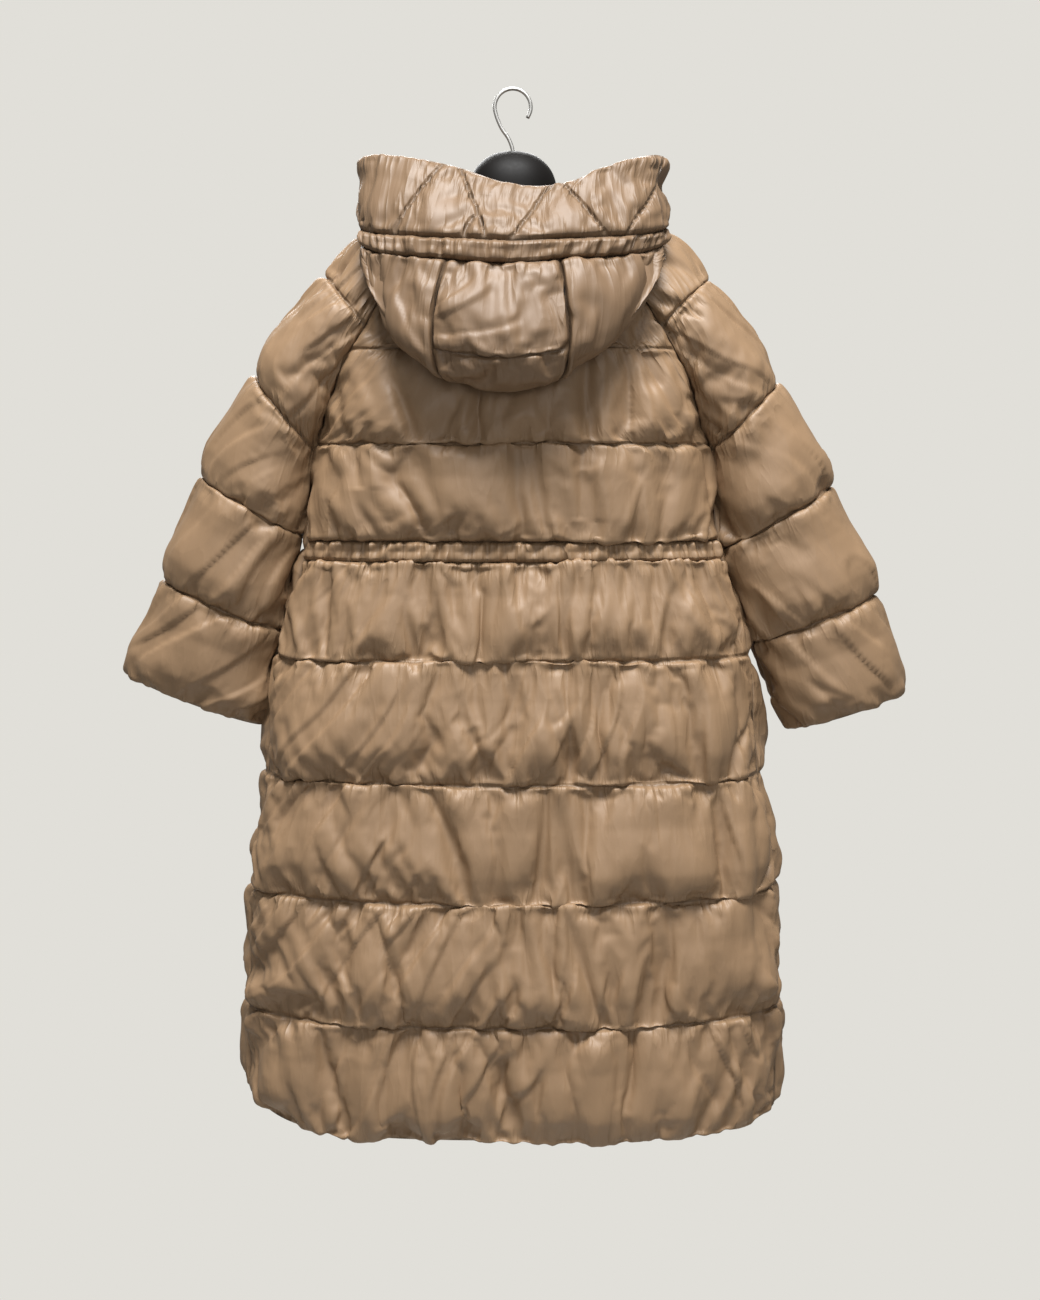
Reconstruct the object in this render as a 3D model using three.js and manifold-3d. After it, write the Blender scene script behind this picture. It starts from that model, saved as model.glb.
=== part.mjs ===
// A long quilted puffer coat with raglan sleeves and a thrown-back hood, its covered front fastening
// closed, on a hanging torso form. Millimetres, +Z up, origin where the hook bears on its rail. The
// coat's back faces -Y and the wearer's right is +X. Every cloth piece is one closed padded wall: a
// sewing surface with its fill added on both sides, thin where it is stitched and thick between the
// quilting lines.
import * as THREE from 'three';
import { mergeVertices } from 'three/addons/utils/BufferGeometryUtils.js';
import Module from 'manifold-3d';

const wasm = await Module();
wasm.setup();

// ---- Wall of the cloth ----------------------------------------------------------------------------
const EDGE = 0.5;             // half thickness where two pieces are sewn together
const STITCHED = 1.2;         // half thickness along a quilting line
const FILL_OUT = 15;          // how far the fill stands out between two quilting lines
const FILL_IN = 8;            // how far it stands inwards
const SEAM_INSET = 0.5;       // each edge stops this short of its seam
const RAGLAN_INSET = 1.9;     // the same on the raglan seams
const FOLD_INSET = 1.4;       // and at the neck, where the walls meet at a sharp angle
const CASING_INSET = 2.8;     // and where the crown folds back from its casing
const CHANNEL_STEPS = [0, 0.2, 0.5, 0.8];  // rows across one quilted channel

// ---- Body -----------------------------------------------------------------------------------------
const NECK_Z = -165;          // back neck and shoulder points
const NECK_DROP = 70;         // the front neck lies this much lower
const ARMPIT_Z = -445;
const CASING_TOP = -554;      // drawcord casing at the back waist
const CASING_BOTTOM = -579;
const HEM_Z = -1304;
const UPPER_LINES = [-324, -437];
const LOWER_LINES = [-700, -851, -998, -1155];
const LAST_LINE = LOWER_LINES[LOWER_LINES.length - 1];
const HEM_LIFT = { left: 36, right: 14 };  // the rounded hem rises at the side seams
const SECTION_POWER = 2.4;    // the body's sections are superellipses, 2 would be an ellipse
const SIDE_SEAM = 80;         // degrees from centre back, below the waist
const FRONT_EDGE = 0.15;      // each front stops this far from the centre line
const FLANGE = 33;            // flat strip of each front that lies under the placket
const PLACKET_HALF = 29;
const PLACKET_LIFT = 3.4;     // from the fronts' sewing surface to the placket's inner face
const PLACKET_THICK = 6;
const CONTACT = { z: -520, fill: 0.22 };  // height where the arms lie against the sides, and the fill there

// The body's half width below the armpit and its depths behind and in front of the side, by height.
const halfWidth = through([[-445, 246], [-566, 262], [-700, 299], [-851, 316], [-998, 335], [-1155, 345],
  [-1304, 346]]);
const backDepth = through([[-165, 72], [-200, 87], [-240, 97], [-300, 106], [-380, 113], [-445, 115],
  [-566, 106], [-700, 112], [-851, 116], [-1155, 116], [-1304, 108]]);
const frontDepth = through([[-165, 66], [-235, 90], [-300, 106], [-380, 116], [-445, 119], [-566, 108],
  [-700, 108], [-1155, 104], [-1304, 98]]);
// The raglan seam: its distance from the centre line, and its depth behind the shoulder.
const seamX = through([[-165, 68], [-215, 118], [-268, 160], [-315, 191], [-345, 208], [-385, 226],
  [-420, 239], [-445, 246]]);
const seamY = through([[-165, 56], [-215, 70], [-268, 76], [-315, 73], [-360, 60], [-400, 41], [-430, 18],
  [-445, 0]]);

// ---- Sleeves --------------------------------------------------------------------------------------
// Six quilting lines from the neck to the cuff, each by its point on the outer ridge, its lowest point
// on the raglan or underarm seam, and its half depth from front to back. The neck-to-shoulder stretch
// has one more ridge point. The left sleeve hangs closer and flatter.
const SLEEVES = {
  right: {
    ridge: [[0, 90, -160], [0.55, 170, -178], [0.8, 205, -200], [1, 238, -237], [2, 327, -362],
      [3, 397, -490], [4, 460, -625], [5, 499, -754]],
    under: [[3, 271, -563], [4, 312, -684], [5, 357, -800]],
    depth: [[0, 58], [1, 80], [2, 71], [3, 64], [4, 58], [5, 51]],
  },
  left: {
    ridge: [[0, 90, -160], [0.55, 168, -177], [0.8, 200, -198], [1, 228, -233], [2, 318, -352],
      [3, 389, -478], [4, 443, -607], [5, 495, -733]],
    under: [[3, 270, -548], [4, 302, -669], [5, 328, -796]],
    depth: [[0, 58], [1, 80], [2, 71], [3, 62], [4, 54], [5, 38]],
  },
};
const RAGLAN_KNOTS = [[0, NECK_Z], [1, -295], [2, ARMPIT_Z]];  // seam height at the first three lines
const SLEEVE_LINES = 5;
const FORWARD_REACH = through([[0, 0], [2, 0], [3, 5], [4, 12], [5, 24]]);  // the arm swings forwards

// ---- Hood -----------------------------------------------------------------------------------------
// Lines round the right half of the hood from centre back to the neck, as x, y, z. A number instead of
// a point is a place on the neck seam, 0 at centre back and 1 at centre front.
const HOOD_RIM = [[0, -118, -140], [42, -117, -134], [85, -110, -117], [130, -95, -103], [168, -68, -93],
  [184, -30, -91], [176, 8, -104], [155, 42, -125], [122, 72, -150], [82, 94, -172], [40, 106, -188],
  [2, 110, -195]];
const BRIM_SEAM = [[0, -165, -210], [40, -163, -208], [80, -155, -205], [124, -138, -200],
  [166, -106, -191], [182, -74, -179], [168, -40, -158], [134, -12, -139], 0.52];
const BRIM_NECK = [0.68, 0.84, 0.995];    // the brim goes on down the neck seam to centre front
const CROWN_SEAM = [[0, -165, -235], [38, -163, -233], [72, -157, -229], [118, -140, -224],
  [160, -112, -214], [177, -86, -200], [164, -54, -175], [132, -28, -150], 0.47];
const POUCH_FOLD = [[0, -150, -377], [38, -151, -373], [72, -150, -362], [116, -142, -328],
  [146, -129, -286], [164, -112, -245], [164, -95, -205], [138, -62, -156], 0.42];
const CROWN_NECK = 0.37;      // the crown's own edge on the neck seam ends here
const CENTRE_STATION = 1.8;   // hood lines' point where the centre panel meets a side panel
const LAST_STATION = 8;       // where the casing and the crown reach the neck seam
const BRIM_REACH = 11;        // and the brim reaches centre front
const RIM_SKEW = 28;          // the rim's low point lies to the right of centre
const CROWN_SKEW = -13;       // and the crown's panels a little to the left
const POUCH_PUSH = 62;        // how far the pouch swells out past its fold
const HOOD_FILL = 9;
const HOOD_FILL_IN = 5;
const CASING_FILL = 2;
const NECK_STAND = 2;         // the hood's neck edge stands this far above the body's

// ---- Torso form and hook --------------------------------------------------------------------------
// Height, half width and half depth of the form's sections, from the neck dome to the flat base.
const FORM_SECTIONS = [[-75.5, 12, 12], [-78, 24, 24], [-86, 38, 38], [-100, 50, 49], [-118, 55, 54],
  [-140, 55, 55], [-156, 60, 56], [-170, 78, 59], [-182, 110, 62], [-194, 146, 65], [-210, 174, 68],
  [-235, 190, 73], [-275, 196, 79], [-330, 190, 84], [-400, 178, 86], [-470, 164, 83], [-566, 148, 76],
  [-640, 160, 82], [-700, 170, 86]];
const FORM_POWER = 2.2;
const FORM_SIDES = 24;
const HOOK_WIRE = 2.4;        // radius of the wire
const HOOK_BEND = 20;         // inside radius of the crook
const HOOK_SOCKET = 22;       // depth of its socket in the neck
const HOOK_CLEARANCE = 0.3;

// A smooth function through [position, value] knots, constant beyond the first and the last.
function through(knots) {
  const way = Math.sign(knots[1][0] - knots[0][0]);
  return (x) => {
    const next = knots.findIndex((knot) => (knot[0] - x) * way > 0);
    if (next === 0) return knots[0][1];
    if (next < 0) return knots[knots.length - 1][1];
    const [x1, y1] = knots[next - 1];
    const [x2, y2] = knots[next];
    const [x0, y0] = knots[Math.max(next - 2, 0)];
    const [x3, y3] = knots[Math.min(next + 1, knots.length - 1)];
    const span = x2 - x1;
    const t = (x - x1) / span;
    const slope1 = (y2 - y0) / (x2 - x0);
    const slope2 = (y3 - y1) / (x3 - x1);
    return y1 * (1 + 2 * t) * (1 - t) ** 2 + slope1 * span * t * (1 - t) ** 2
      + y2 * t * t * (3 - 2 * t) - slope2 * span * t * t * (1 - t);
  };
}

const lerp = THREE.MathUtils.lerp;
const radians = THREE.MathUtils.degToRad;
const smoothstep = THREE.MathUtils.smoothstep;
const steps = (first, last, count) =>
  Array.from({ length: count + 1 }, (_, i) => lerp(first, last, i / count));
const signedPower = (value, power) => Math.sign(value) * Math.abs(value) ** power;

// ---- Body surface ---------------------------------------------------------------------------------

// The body's half width. Above the armpit it is the one that carries the raglan seam.
function bodyWidth(z) {
  if (z <= ARMPIT_Z) return halfWidth(z);
  return seamX(z) / (1 - (seamY(z) / backDepth(z)) ** SECTION_POWER) ** (1 / SECTION_POWER);
}

// A point of the body, with its angle in degrees from centre back, positive on the wearer's right.
function bodyPoint(angle, z) {
  const power = 2 / SECTION_POWER;
  const sine = signedPower(Math.sin(radians(angle)), power);
  const cosine = signedPower(Math.cos(radians(angle)), power);
  const depth = cosine > 0 ? backDepth(z) : frontDepth(z);
  return new THREE.Vector3(bodyWidth(z) * sine, -depth * cosine, z);
}

// The angle where a back or a front ends: on the raglan seam, or on the side seam below the armpit.
function edgeAngle(z) {
  if (z > ARMPIT_Z) {
    const sine = Math.min(1, (seamX(z) / bodyWidth(z)) ** (SECTION_POWER / 2));
    return THREE.MathUtils.radToDeg(Math.asin(sine));
  }
  return lerp(90, SIDE_SEAM, smoothstep(ARMPIT_Z - z, 0, ARMPIT_Z - CASING_TOP));
}
const frontEdgeAngle = (z) => (z > ARMPIT_Z ? 180 - edgeAngle(z) : edgeAngle(z));

// The angle at which a front reaches a distance from the centre line.
function angleAt(x, z) {
  return 180 - THREE.MathUtils.radToDeg(Math.asin((x / bodyWidth(z)) ** (SECTION_POWER / 2)));
}

// How far a front's neck edge has fallen, from its raglan seam (0) to centre front (1).
const neckDrop = (across) => NECK_DROP * Math.sin(across * Math.PI / 2) ** 1.2;

// Rows of a quilted panel: the height where each lies, and its puff from 0 on a line to 1 between.
function channelRows(lines) {
  const rows = [];
  for (let k = 0; k + 1 < lines.length; k += 1) {
    for (const f of CHANNEL_STEPS) {
      rows.push({ at: lerp(lines[k], lines[k + 1], f), puff: Math.sqrt(1 - (2 * f - 1) ** 2) });
    }
  }
  rows.push({ at: lines[lines.length - 1], puff: 0 });
  return rows;
}

// Where the sleeve lies against the body, the fill of both is pressed flat.
const pressed = (z) => lerp(CONTACT.fill, 1, smoothstep(Math.abs(z - CONTACT.z), 60, 190));
const sideFill = (angle, z) => lerp(1, pressed(z), smoothstep(60 - Math.abs(90 - angle), 0, 45));

// Under the hood the back is pressed flatter.
const underHood = (z) => lerp(0.5, 1, smoothstep(-z, 280, 400));

// The hem's height at an angle: level at centre back and front, lifted at the side seams.
function hemRise(angle) {
  const lift = angle < 0 ? HEM_LIFT.left : HEM_LIFT.right;
  return lift * Math.abs(Math.sin(radians(angle))) ** 6;
}

// How much of the hem's lift a height gets, from 0 at the last quilting line to 1 at the hem.
const hemShare = (z) => Math.max(0, (LAST_LINE - z) / (LAST_LINE - HEM_Z));

// ---- Padded walls ---------------------------------------------------------------------------------

// One closed wall from a grid of points of its sewing surface. Columns run round the coat the way that
// angles grow, rows run down, and `fill` gives each point's thickness outwards and inwards.
function paddedWall(grid, fill, inset = {}) {
  const last = grid.length - 1;
  const end = grid[0].length - 1;
  const pull = (point, towards, distance = SEAM_INSET) =>
    point.clone().add(towards.clone().sub(point).setLength(distance));
  grid = grid.map((row, i) => row.map((point, j) => {
    let moved = point.clone();
    if (j === 0) moved = pull(moved, row[1], inset.start);
    if (j === end) moved = pull(moved, row[end - 1], inset.end);
    if (i === 0) moved.add(pull(point, grid[1][j], inset.top).sub(point));
    if (i === last) moved.add(pull(point, grid[last - 1][j], inset.bottom).sub(point));
    return moved;
  }));
  const outer = [];
  const inner = [];
  grid.forEach((row, i) => row.forEach((point, j) => {
    const across = row[Math.min(j + 1, end)].clone().sub(row[Math.max(j - 1, 0)]);
    const down = grid[Math.min(i + 1, last)][j].clone().sub(grid[Math.max(i - 1, 0)][j]);
    const normal = down.cross(across).normalize();
    const [out, back] = fill(i, j);
    outer.push(point.clone().addScaledVector(normal, out));
    inner.push(point.clone().addScaledVector(normal, -back));
  }));
  const columns = end + 1;
  const lining = outer.length;
  const index = [];
  const quad = (a, b, c, d) => index.push(a, b, c, a, c, d);
  for (let i = 0; i < last; i += 1) {
    for (let j = 0; j < end; j += 1) {
      const a = i * columns + j;
      const b = a + columns;
      quad(a, b, b + 1, a + 1);
      quad(lining + a, lining + a + 1, lining + b + 1, lining + b);
    }
  }
  for (let j = 0; j < end; j += 1) {
    quad(j, j + 1, lining + j + 1, lining + j);
    const base = last * columns + j;
    quad(base + 1, base, lining + base, lining + base + 1);
  }
  for (let i = 0; i < last; i += 1) {
    const [upper, lower] = [i * columns, (i + 1) * columns];
    quad(lower, upper, lining + upper, lining + lower);
    quad(upper + end, lower + end, lining + lower + end, lining + upper + end);
  }
  const geometry = new THREE.BufferGeometry();
  const points = [...outer, ...inner].flatMap((point) => point.toArray());
  geometry.setAttribute('position', new THREE.Float32BufferAttribute(points, 3));
  geometry.setIndex(index);
  geometry.computeVertexNormals();
  return geometry;
}

// The wall's two thicknesses from its puff, 0 on a stitched line to 1 in the middle of a channel.
const thickness = (puff, onEdge, out = FILL_OUT, back = FILL_IN) => {
  const least = onEdge ? EDGE : STITCHED;
  return [least + out * puff, least + back * puff];
};

// Puff across a panel: nothing on its own seams, most of the fill a step in.
const acrossPuff = (j, end) => (j === 0 || j === end ? 0 : (j === 1 || j === end - 1 ? 0.85 : 1));

// ---- Backs, casing and fronts ---------------------------------------------------------------------

function backPanel(lines, columns, inset) {
  const rows = channelRows(lines);
  const turns = steps(-1, 1, columns);
  const last = rows.length - 1;
  const grid = rows.map((row) => turns.map((turn) => {
    const angle = turn * edgeAngle(row.at);
    const point = bodyPoint(angle, row.at);
    return point.setZ(point.z + hemRise(angle) * hemShare(row.at));
  }));
  const fill = (i, j) => {
    const z = rows[i].at;
    const angle = Math.abs(turns[j] * edgeAngle(z));
    const puff = rows[i].puff * acrossPuff(j, columns) * sideFill(angle, z) * underHood(z);
    return thickness(puff, i === 0 || i === last || j === 0 || j === columns);
  };
  return paddedWall(grid, fill, inset);
}

function waistCasing(columns) {
  const heights = [CASING_TOP, lerp(CASING_TOP, CASING_BOTTOM, 0.5), CASING_BOTTOM];
  const turns = steps(-1, 1, columns);
  const grid = heights.map((z) => turns.map((turn) => bodyPoint(turn * edgeAngle(z), z)));
  const fill = (i, j) => (i === 1 ? thickness(0.3 * acrossPuff(j, columns), false) : [EDGE, EDGE]);
  return paddedWall(grid, fill);
}

const FRONT_LINES = [NECK_Z, ...UPPER_LINES, (CASING_TOP + CASING_BOTTOM) / 2, ...LOWER_LINES, HEM_Z];

// A point of a front: `turn` is 0 on its raglan or side seam, 1 at the flange and 2 at centre front.
function frontPoint(side, row, turn) {
  const nearNeck = Math.max(0, (row - FRONT_LINES[1]) / (NECK_Z - FRONT_LINES[1]));
  const nearSide = Math.max(0, 1 - turn * 1.2) ** 2;
  const z = row - neckDrop(turn / 2) * nearNeck + HEM_LIFT[side] * hemShare(row) * nearSide;
  const flange = angleAt(FLANGE, z);
  const angle = turn <= 1
    ? lerp(frontEdgeAngle(row), flange, turn)
    : lerp(flange, angleAt(FRONT_EDGE, z), turn - 1);
  const point = bodyPoint(angle, z);
  if (side === 'left') point.x = -point.x;
  return point;
}

function frontPanel(side, columns) {
  const rows = channelRows(FRONT_LINES);
  const turns = [...steps(0, 1, columns), 1.5, 2];
  if (side === 'left') turns.reverse();
  const last = rows.length - 1;
  const end = turns.length - 1;
  const grid = rows.map((row) => turns.map((turn) => frontPoint(side, row.at, turn)));
  const fill = (i, j) => {
    const turn = turns[j];
    const across = turn >= 1 || turn === 0 ? 0 : (turn < 0.2 || turn > 0.8 ? 0.85 : 1);
    const angle = lerp(frontEdgeAngle(rows[i].at), 180, Math.min(turn, 1));
    const puff = rows[i].puff * across * sideFill(angle, rows[i].at);
    return thickness(puff, i === 0 || i === last || j === 0 || j === end);
  };
  const seam = side === 'left' ? { end: RAGLAN_INSET, start: 0.01 } : { start: RAGLAN_INSET, end: 0.01 };
  return paddedWall(grid, fill, { ...seam, top: FOLD_INSET });
}

// The placket lies on both fronts' flanges, from the neck to the hem.
function placket() {
  const rows = channelRows(FRONT_LINES);
  const last = rows.length - 1;
  const turns = steps(-1, 1, 4);
  const grid = rows.map((row) => turns.map((turn) => {
    const edge = frontPoint('right', row.at, 2);
    return bodyPoint(angleAt(Math.max(Math.abs(turn) * PLACKET_HALF, 0.001), edge.z), edge.z)
      .multiply(new THREE.Vector3(-Math.sign(turn) || 1, 1, 1));
  }));
  const fill = (i, j) => {
    const rim = i === 0 || i === last || j === 0 || j === turns.length - 1;
    return [PLACKET_LIFT + (rim ? 2 * EDGE : PLACKET_THICK * (0.45 + 0.55 * rows[i].puff)), -PLACKET_LIFT];
  };
  return paddedWall(grid, fill, { top: 3 });
}

// ---- Sleeves --------------------------------------------------------------------------------------

// The sleeve's surface. `line` counts quilting lines down from the neck, and `round` runs from -1 on
// the back seam over the ridge to 1 on the front seam, which meet under the arm below the armpit.
function sleeveSurface(side) {
  const { ridge, under, depth } = SLEEVES[side];
  const ridgeX = through(ridge.map(([line, x]) => [line, x]));
  const ridgeZ = through(ridge.map(([line, , z]) => [line, z]));
  const raglanZ = through(RAGLAN_KNOTS);
  const underX = through([[1, 192], [2, seamX(ARMPIT_Z)], ...under.map(([line, x]) => [line, x])]);
  const underZ = through([...RAGLAN_KNOTS.slice(1), ...under.map(([line, , z]) => [line, z])]);
  const halfDepth = through(depth);
  const mirror = side === 'left' ? -1 : 1;
  return (round, line) => {
    const onBody = line < 2;
    const lowZ = onBody ? raglanZ(line) : underZ(line);
    const lowX = onBody ? seamX(lowZ) : underX(line);
    const edgeDepth = onBody ? seamY(lowZ) : 0;
    const opening = Math.PI - Math.asin(Math.min(1, edgeDepth / halfDepth(line)));
    const turn = round * opening;
    const out = (Math.cos(turn) - Math.cos(opening)) / (1 - Math.cos(opening));
    const front = round > 0 && onBody ? frontDepth(lowZ) / backDepth(lowZ) : 1;
    return new THREE.Vector3(
      mirror * lerp(lowX, ridgeX(line), out),
      halfDepth(line) * Math.sin(turn) * lerp(1, front, Math.abs(round)) + FORWARD_REACH(line),
      lerp(lowZ, ridgeZ(line), out),
    );
  };
}

function sleeve(side, columns) {
  const surface = sleeveSurface(side);
  const rows = channelRows(steps(0, SLEEVE_LINES, SLEEVE_LINES));
  const last = rows.length - 1;
  const rounds = steps(-1, 1, columns);
  if (side === 'left') rounds.reverse();
  const grid = rows.map((row) => rounds.map((round) => surface(round, row.at)));
  const fill = (i, j) => {
    const underarm = smoothstep(Math.abs(rounds[j]), 0.55, 0.95);
    const flat = lerp(1, 0.2, underarm * smoothstep(2.2 - Math.abs(rows[i].at - 2.6), 0, 1.4));
    const shoulder = lerp(0.05, 1, smoothstep(rows[i].at, 0.1, 1.3));
    const puff = rows[i].puff * acrossPuff(j, columns) * flat * shoulder;
    return thickness(puff, i === 0 || i === last || j === 0 || j === columns);
  };
  return paddedWall(grid, fill, { top: FOLD_INSET, start: RAGLAN_INSET, end: RAGLAN_INSET });
}

// ---- Hood -----------------------------------------------------------------------------------------

// The right half of the hood's neck edge: along the back, over the sleeve's top and down the front.
function neckSeam() {
  const sleeveTop = sleeveSurface('right');
  const back = steps(0, 0.9, 4).map((turn) => bodyPoint(turn * edgeAngle(NECK_Z), NECK_Z));
  const top = steps(-1, 0.9, 8).map((round) => sleeveTop(round, 0));
  const front = steps(0, 2, 8).map((turn) => frontPoint('right', NECK_Z, turn));
  const points = [...back, ...top, ...front].map((point) => point.setZ(point.z + NECK_STAND));
  return new THREE.CatmullRomCurve3(points);
}
const neck = neckSeam();

// A whole line round the hood as a function of the station, 0 at centre back and negative on the left.
// The points of the right half are one smooth curve, and places on the neck seam follow that seam.
function hoodLine(half, skew = 0) {
  const places = half.filter((place) => typeof place === 'number');
  const free = half.filter((place) => typeof place !== 'number')
    .map((point) => new THREE.Vector3(...point));
  const right = places.length > 0 ? [...free, neck.getPointAt(places[0])] : free;
  const left = right.slice(1).reverse().map((point) => new THREE.Vector3(-point.x, point.y, point.z));
  const curve = new THREE.CatmullRomCurve3([...left, ...right]);
  const reach = right.length - 1;
  const widest = Math.max(...right.map((point) => point.x));
  return (station) => {
    const beyond = Math.abs(station) - reach;
    if (beyond > 0 || free.length === 0) {
      const k = Math.min(Math.floor(beyond), places.length - 2);
      const point = neck.getPointAt(lerp(places[k], places[k + 1], beyond - k));
      return station < 0 ? point.setX(-point.x) : point;
    }
    const point = curve.getPoint((station + reach) / (2 * reach));
    if (point.y < 0) point.x += skew * (1 - (point.x / widest) ** 2);
    return point;
  };
}

const rim = hoodLine(HOOD_RIM, RIM_SKEW);
const brimLower = hoodLine([...BRIM_SEAM, ...BRIM_NECK]);
const crownSeam = hoodLine(CROWN_SEAM, CROWN_SKEW);
const pouchFold = hoodLine(POUCH_FOLD, CROWN_SKEW);
const crownNeck = hoodLine(steps(0, CROWN_NECK, LAST_STATION));

// A closed wall between two lines of the hood, thin on its four edges.
function hoodStrip(upper, lower, reach, columns, rows, fillOut, inset) {
  const stations = steps(-reach, reach, columns);
  const down = steps(0, 1, rows);
  const grid = down.map((v) => stations.map((station) => upper(station).lerp(lower(station), v)));
  const fill = (i, j) => {
    const collar = lerp(1, 0.3, smoothstep(Math.abs(stations[j]), 6.5, 8.5));
    const puff = Math.sqrt(1 - (2 * down[i] - 1) ** 2) * acrossPuff(j, columns) * collar;
    return thickness(puff, puff === 0, fillOut, fillOut * 0.5);
  };
  return paddedWall(grid, fill, inset);
}

// The crown's surface by station, negative on the left, and by `way`: 0 on the casing seam, 1 at the
// bottom fold of the pouch and 2 at the neck seam, where the cloth lies back on the coat.
function crownPoint(station, way) {
  const top = crownSeam(station);
  const fold = pouchFold(station);
  const rest = crownNeck(station);
  const side = Math.abs(station) / LAST_STATION;
  const push = new THREE.Vector3(top.x, top.y + 40, 0).setLength(POUCH_PUSH * (1 - side) ** 1.2);
  const depth = top.z - fold.z;
  if (way <= 1) {
    const first = top.clone().addScaledVector(push, 0.55).setZ(top.z - depth * 0.3);
    const second = fold.clone().add(push).setZ(fold.z + depth * 0.08);
    return new THREE.CubicBezierCurve3(top, first, second, fold).getPoint(way);
  }
  const first = fold.clone().add(new THREE.Vector3(0, 10 * (1 - side), depth * 0.3));
  const lean = new THREE.Vector3(Math.sign(station) * 16 * side, -50 + 16 * side, 16 * side - 2);
  const second = rest.clone().add(lean);
  return new THREE.CubicBezierCurve3(fold, first, second, rest).getPoint(way - 1);
}

function crownPanel(from, to, columns) {
  const stations = steps(from, to, columns);
  const ways = [...steps(0, 1, 6), ...steps(1, 2, 4).slice(1)];
  const last = ways.length - 1;
  const grid = ways.map((way) => stations.map((station) => crownPoint(station, way)));
  const fill = (i, j) => {
    const outerFace = ways[i] <= 1 ? Math.sin(Math.PI * Math.min(ways[i] * 1.1, 1)) ** 0.6 : 0;
    const slim = lerp(1, 0.25, smoothstep(Math.abs(stations[j]), 2.5, 5));
    const puff = outerFace * acrossPuff(j, columns) * slim;
    const rimmed = i === 0 || i === last || j === 0 || j === columns;
    return rimmed ? thickness(0, true) : thickness(puff, false, HOOD_FILL, HOOD_FILL_IN);
  };
  return paddedWall(grid, fill, { top: CASING_INSET, bottom: FOLD_INSET });
}

// ---- Torso form and hook --------------------------------------------------------------------------

// A closed body through superellipse sections stacked by height, with flat ends.
function stackedSections(sections, power, sides) {
  const points = [];
  const index = [];
  for (const [z, width, depth] of sections) {
    for (let k = 0; k < sides; k += 1) {
      const angle = 2 * Math.PI * k / sides;
      const across = signedPower(Math.cos(angle), 2 / power);
      const forward = signedPower(Math.sin(angle), 2 / power);
      points.push(width * across, depth * forward, z);
    }
  }
  for (let i = 0; i + 1 < sections.length; i += 1) {
    for (let k = 0; k < sides; k += 1) {
      const [a, b] = [i * sides + k, i * sides + (k + 1) % sides];
      index.push(a, a + sides, b, b, a + sides, b + sides);
    }
  }
  const top = points.length / 3;
  points.push(0, 0, sections[0][0], 0, 0, sections[sections.length - 1][0]);
  const base = (sections.length - 1) * sides;
  for (let k = 0; k < sides; k += 1) {
    const next = (k + 1) % sides;
    index.push(top, k, next, top + 1, base + next, base + k);
  }
  const geometry = new THREE.BufferGeometry();
  geometry.setAttribute('position', new THREE.Float32BufferAttribute(points, 3));
  geometry.setIndex(index);
  return geometry;
}

function toSolid(geometry) {
  const bare = geometry.clone();
  bare.deleteAttribute('normal');
  bare.deleteAttribute('uv');
  const merged = mergeVertices(bare, 1e-4);
  return new wasm.Manifold(new wasm.Mesh({
    numProp: 3,
    vertProperties: new Float32Array(merged.attributes.position.array),
    triVerts: new Uint32Array(merged.index.array),
  }));
}

function fromSolid(solid) {
  const mesh = solid.getMesh();
  const geometry = new THREE.BufferGeometry();
  geometry.setAttribute('position', new THREE.BufferAttribute(mesh.vertProperties, 3));
  geometry.setIndex(new THREE.BufferAttribute(mesh.triVerts, 1));
  geometry.computeVertexNormals();
  return geometry;
}

// The form, with a round socket for the hook in the top of its neck.
function torsoForm() {
  const top = FORM_SECTIONS[0][0];
  const radius = HOOK_WIRE + HOOK_CLEARANCE;
  const socket = new THREE.CylinderGeometry(radius, radius, HOOK_SOCKET + 2, 16).rotateX(Math.PI / 2);
  socket.translate(0, 0, top - HOOK_SOCKET / 2 + 1);
  const form = toSolid(stackedSections(FORM_SECTIONS, FORM_POWER, FORM_SIDES));
  return fromSolid(form.subtract(toSolid(socket)));
}

// The hook: an upright stem, a knee and a crook open to the right. Its inner top bears at the origin.
function hook() {
  const middle = HOOK_BEND + HOOK_WIRE;
  const foot = FORM_SECTIONS[0][0] - HOOK_SOCKET + HOOK_CLEARANCE;
  const stem = [[0, foot], [0, -90], [0, -83], [0, -77], [0, -72], [-5, -58], [-14, -45]];
  const points = stem.map(([x, z]) => new THREE.Vector3(x, 0, z));
  for (const degrees of steps(200, -35, 9)) {
    const angle = radians(degrees);
    points.push(new THREE.Vector3(middle * Math.cos(angle), 0, middle * Math.sin(angle) - HOOK_BEND));
  }
  const section = new THREE.Shape().absarc(0, 0, HOOK_WIRE, 0, 2 * Math.PI);
  return new THREE.ExtrudeGeometry(section, {
    steps: 44,
    curveSegments: 5,
    extrudePath: new THREE.CatmullRomCurve3(points, false, 'centripetal'),
  });
}

// ---- The object -----------------------------------------------------------------------------------

const group = new THREE.Group();
const NYLON = { color: 0x9e8164, roughness: 0.42, metalness: 0 };
const HOOD_NYLON = { color: 0xa98a6c, roughness: 0.42, metalness: 0 };

function add(name, geometry, finish) {
  const mesh = new THREE.Mesh(geometry, new THREE.MeshStandardMaterial(finish));
  mesh.name = name;
  group.add(mesh);
}

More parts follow.
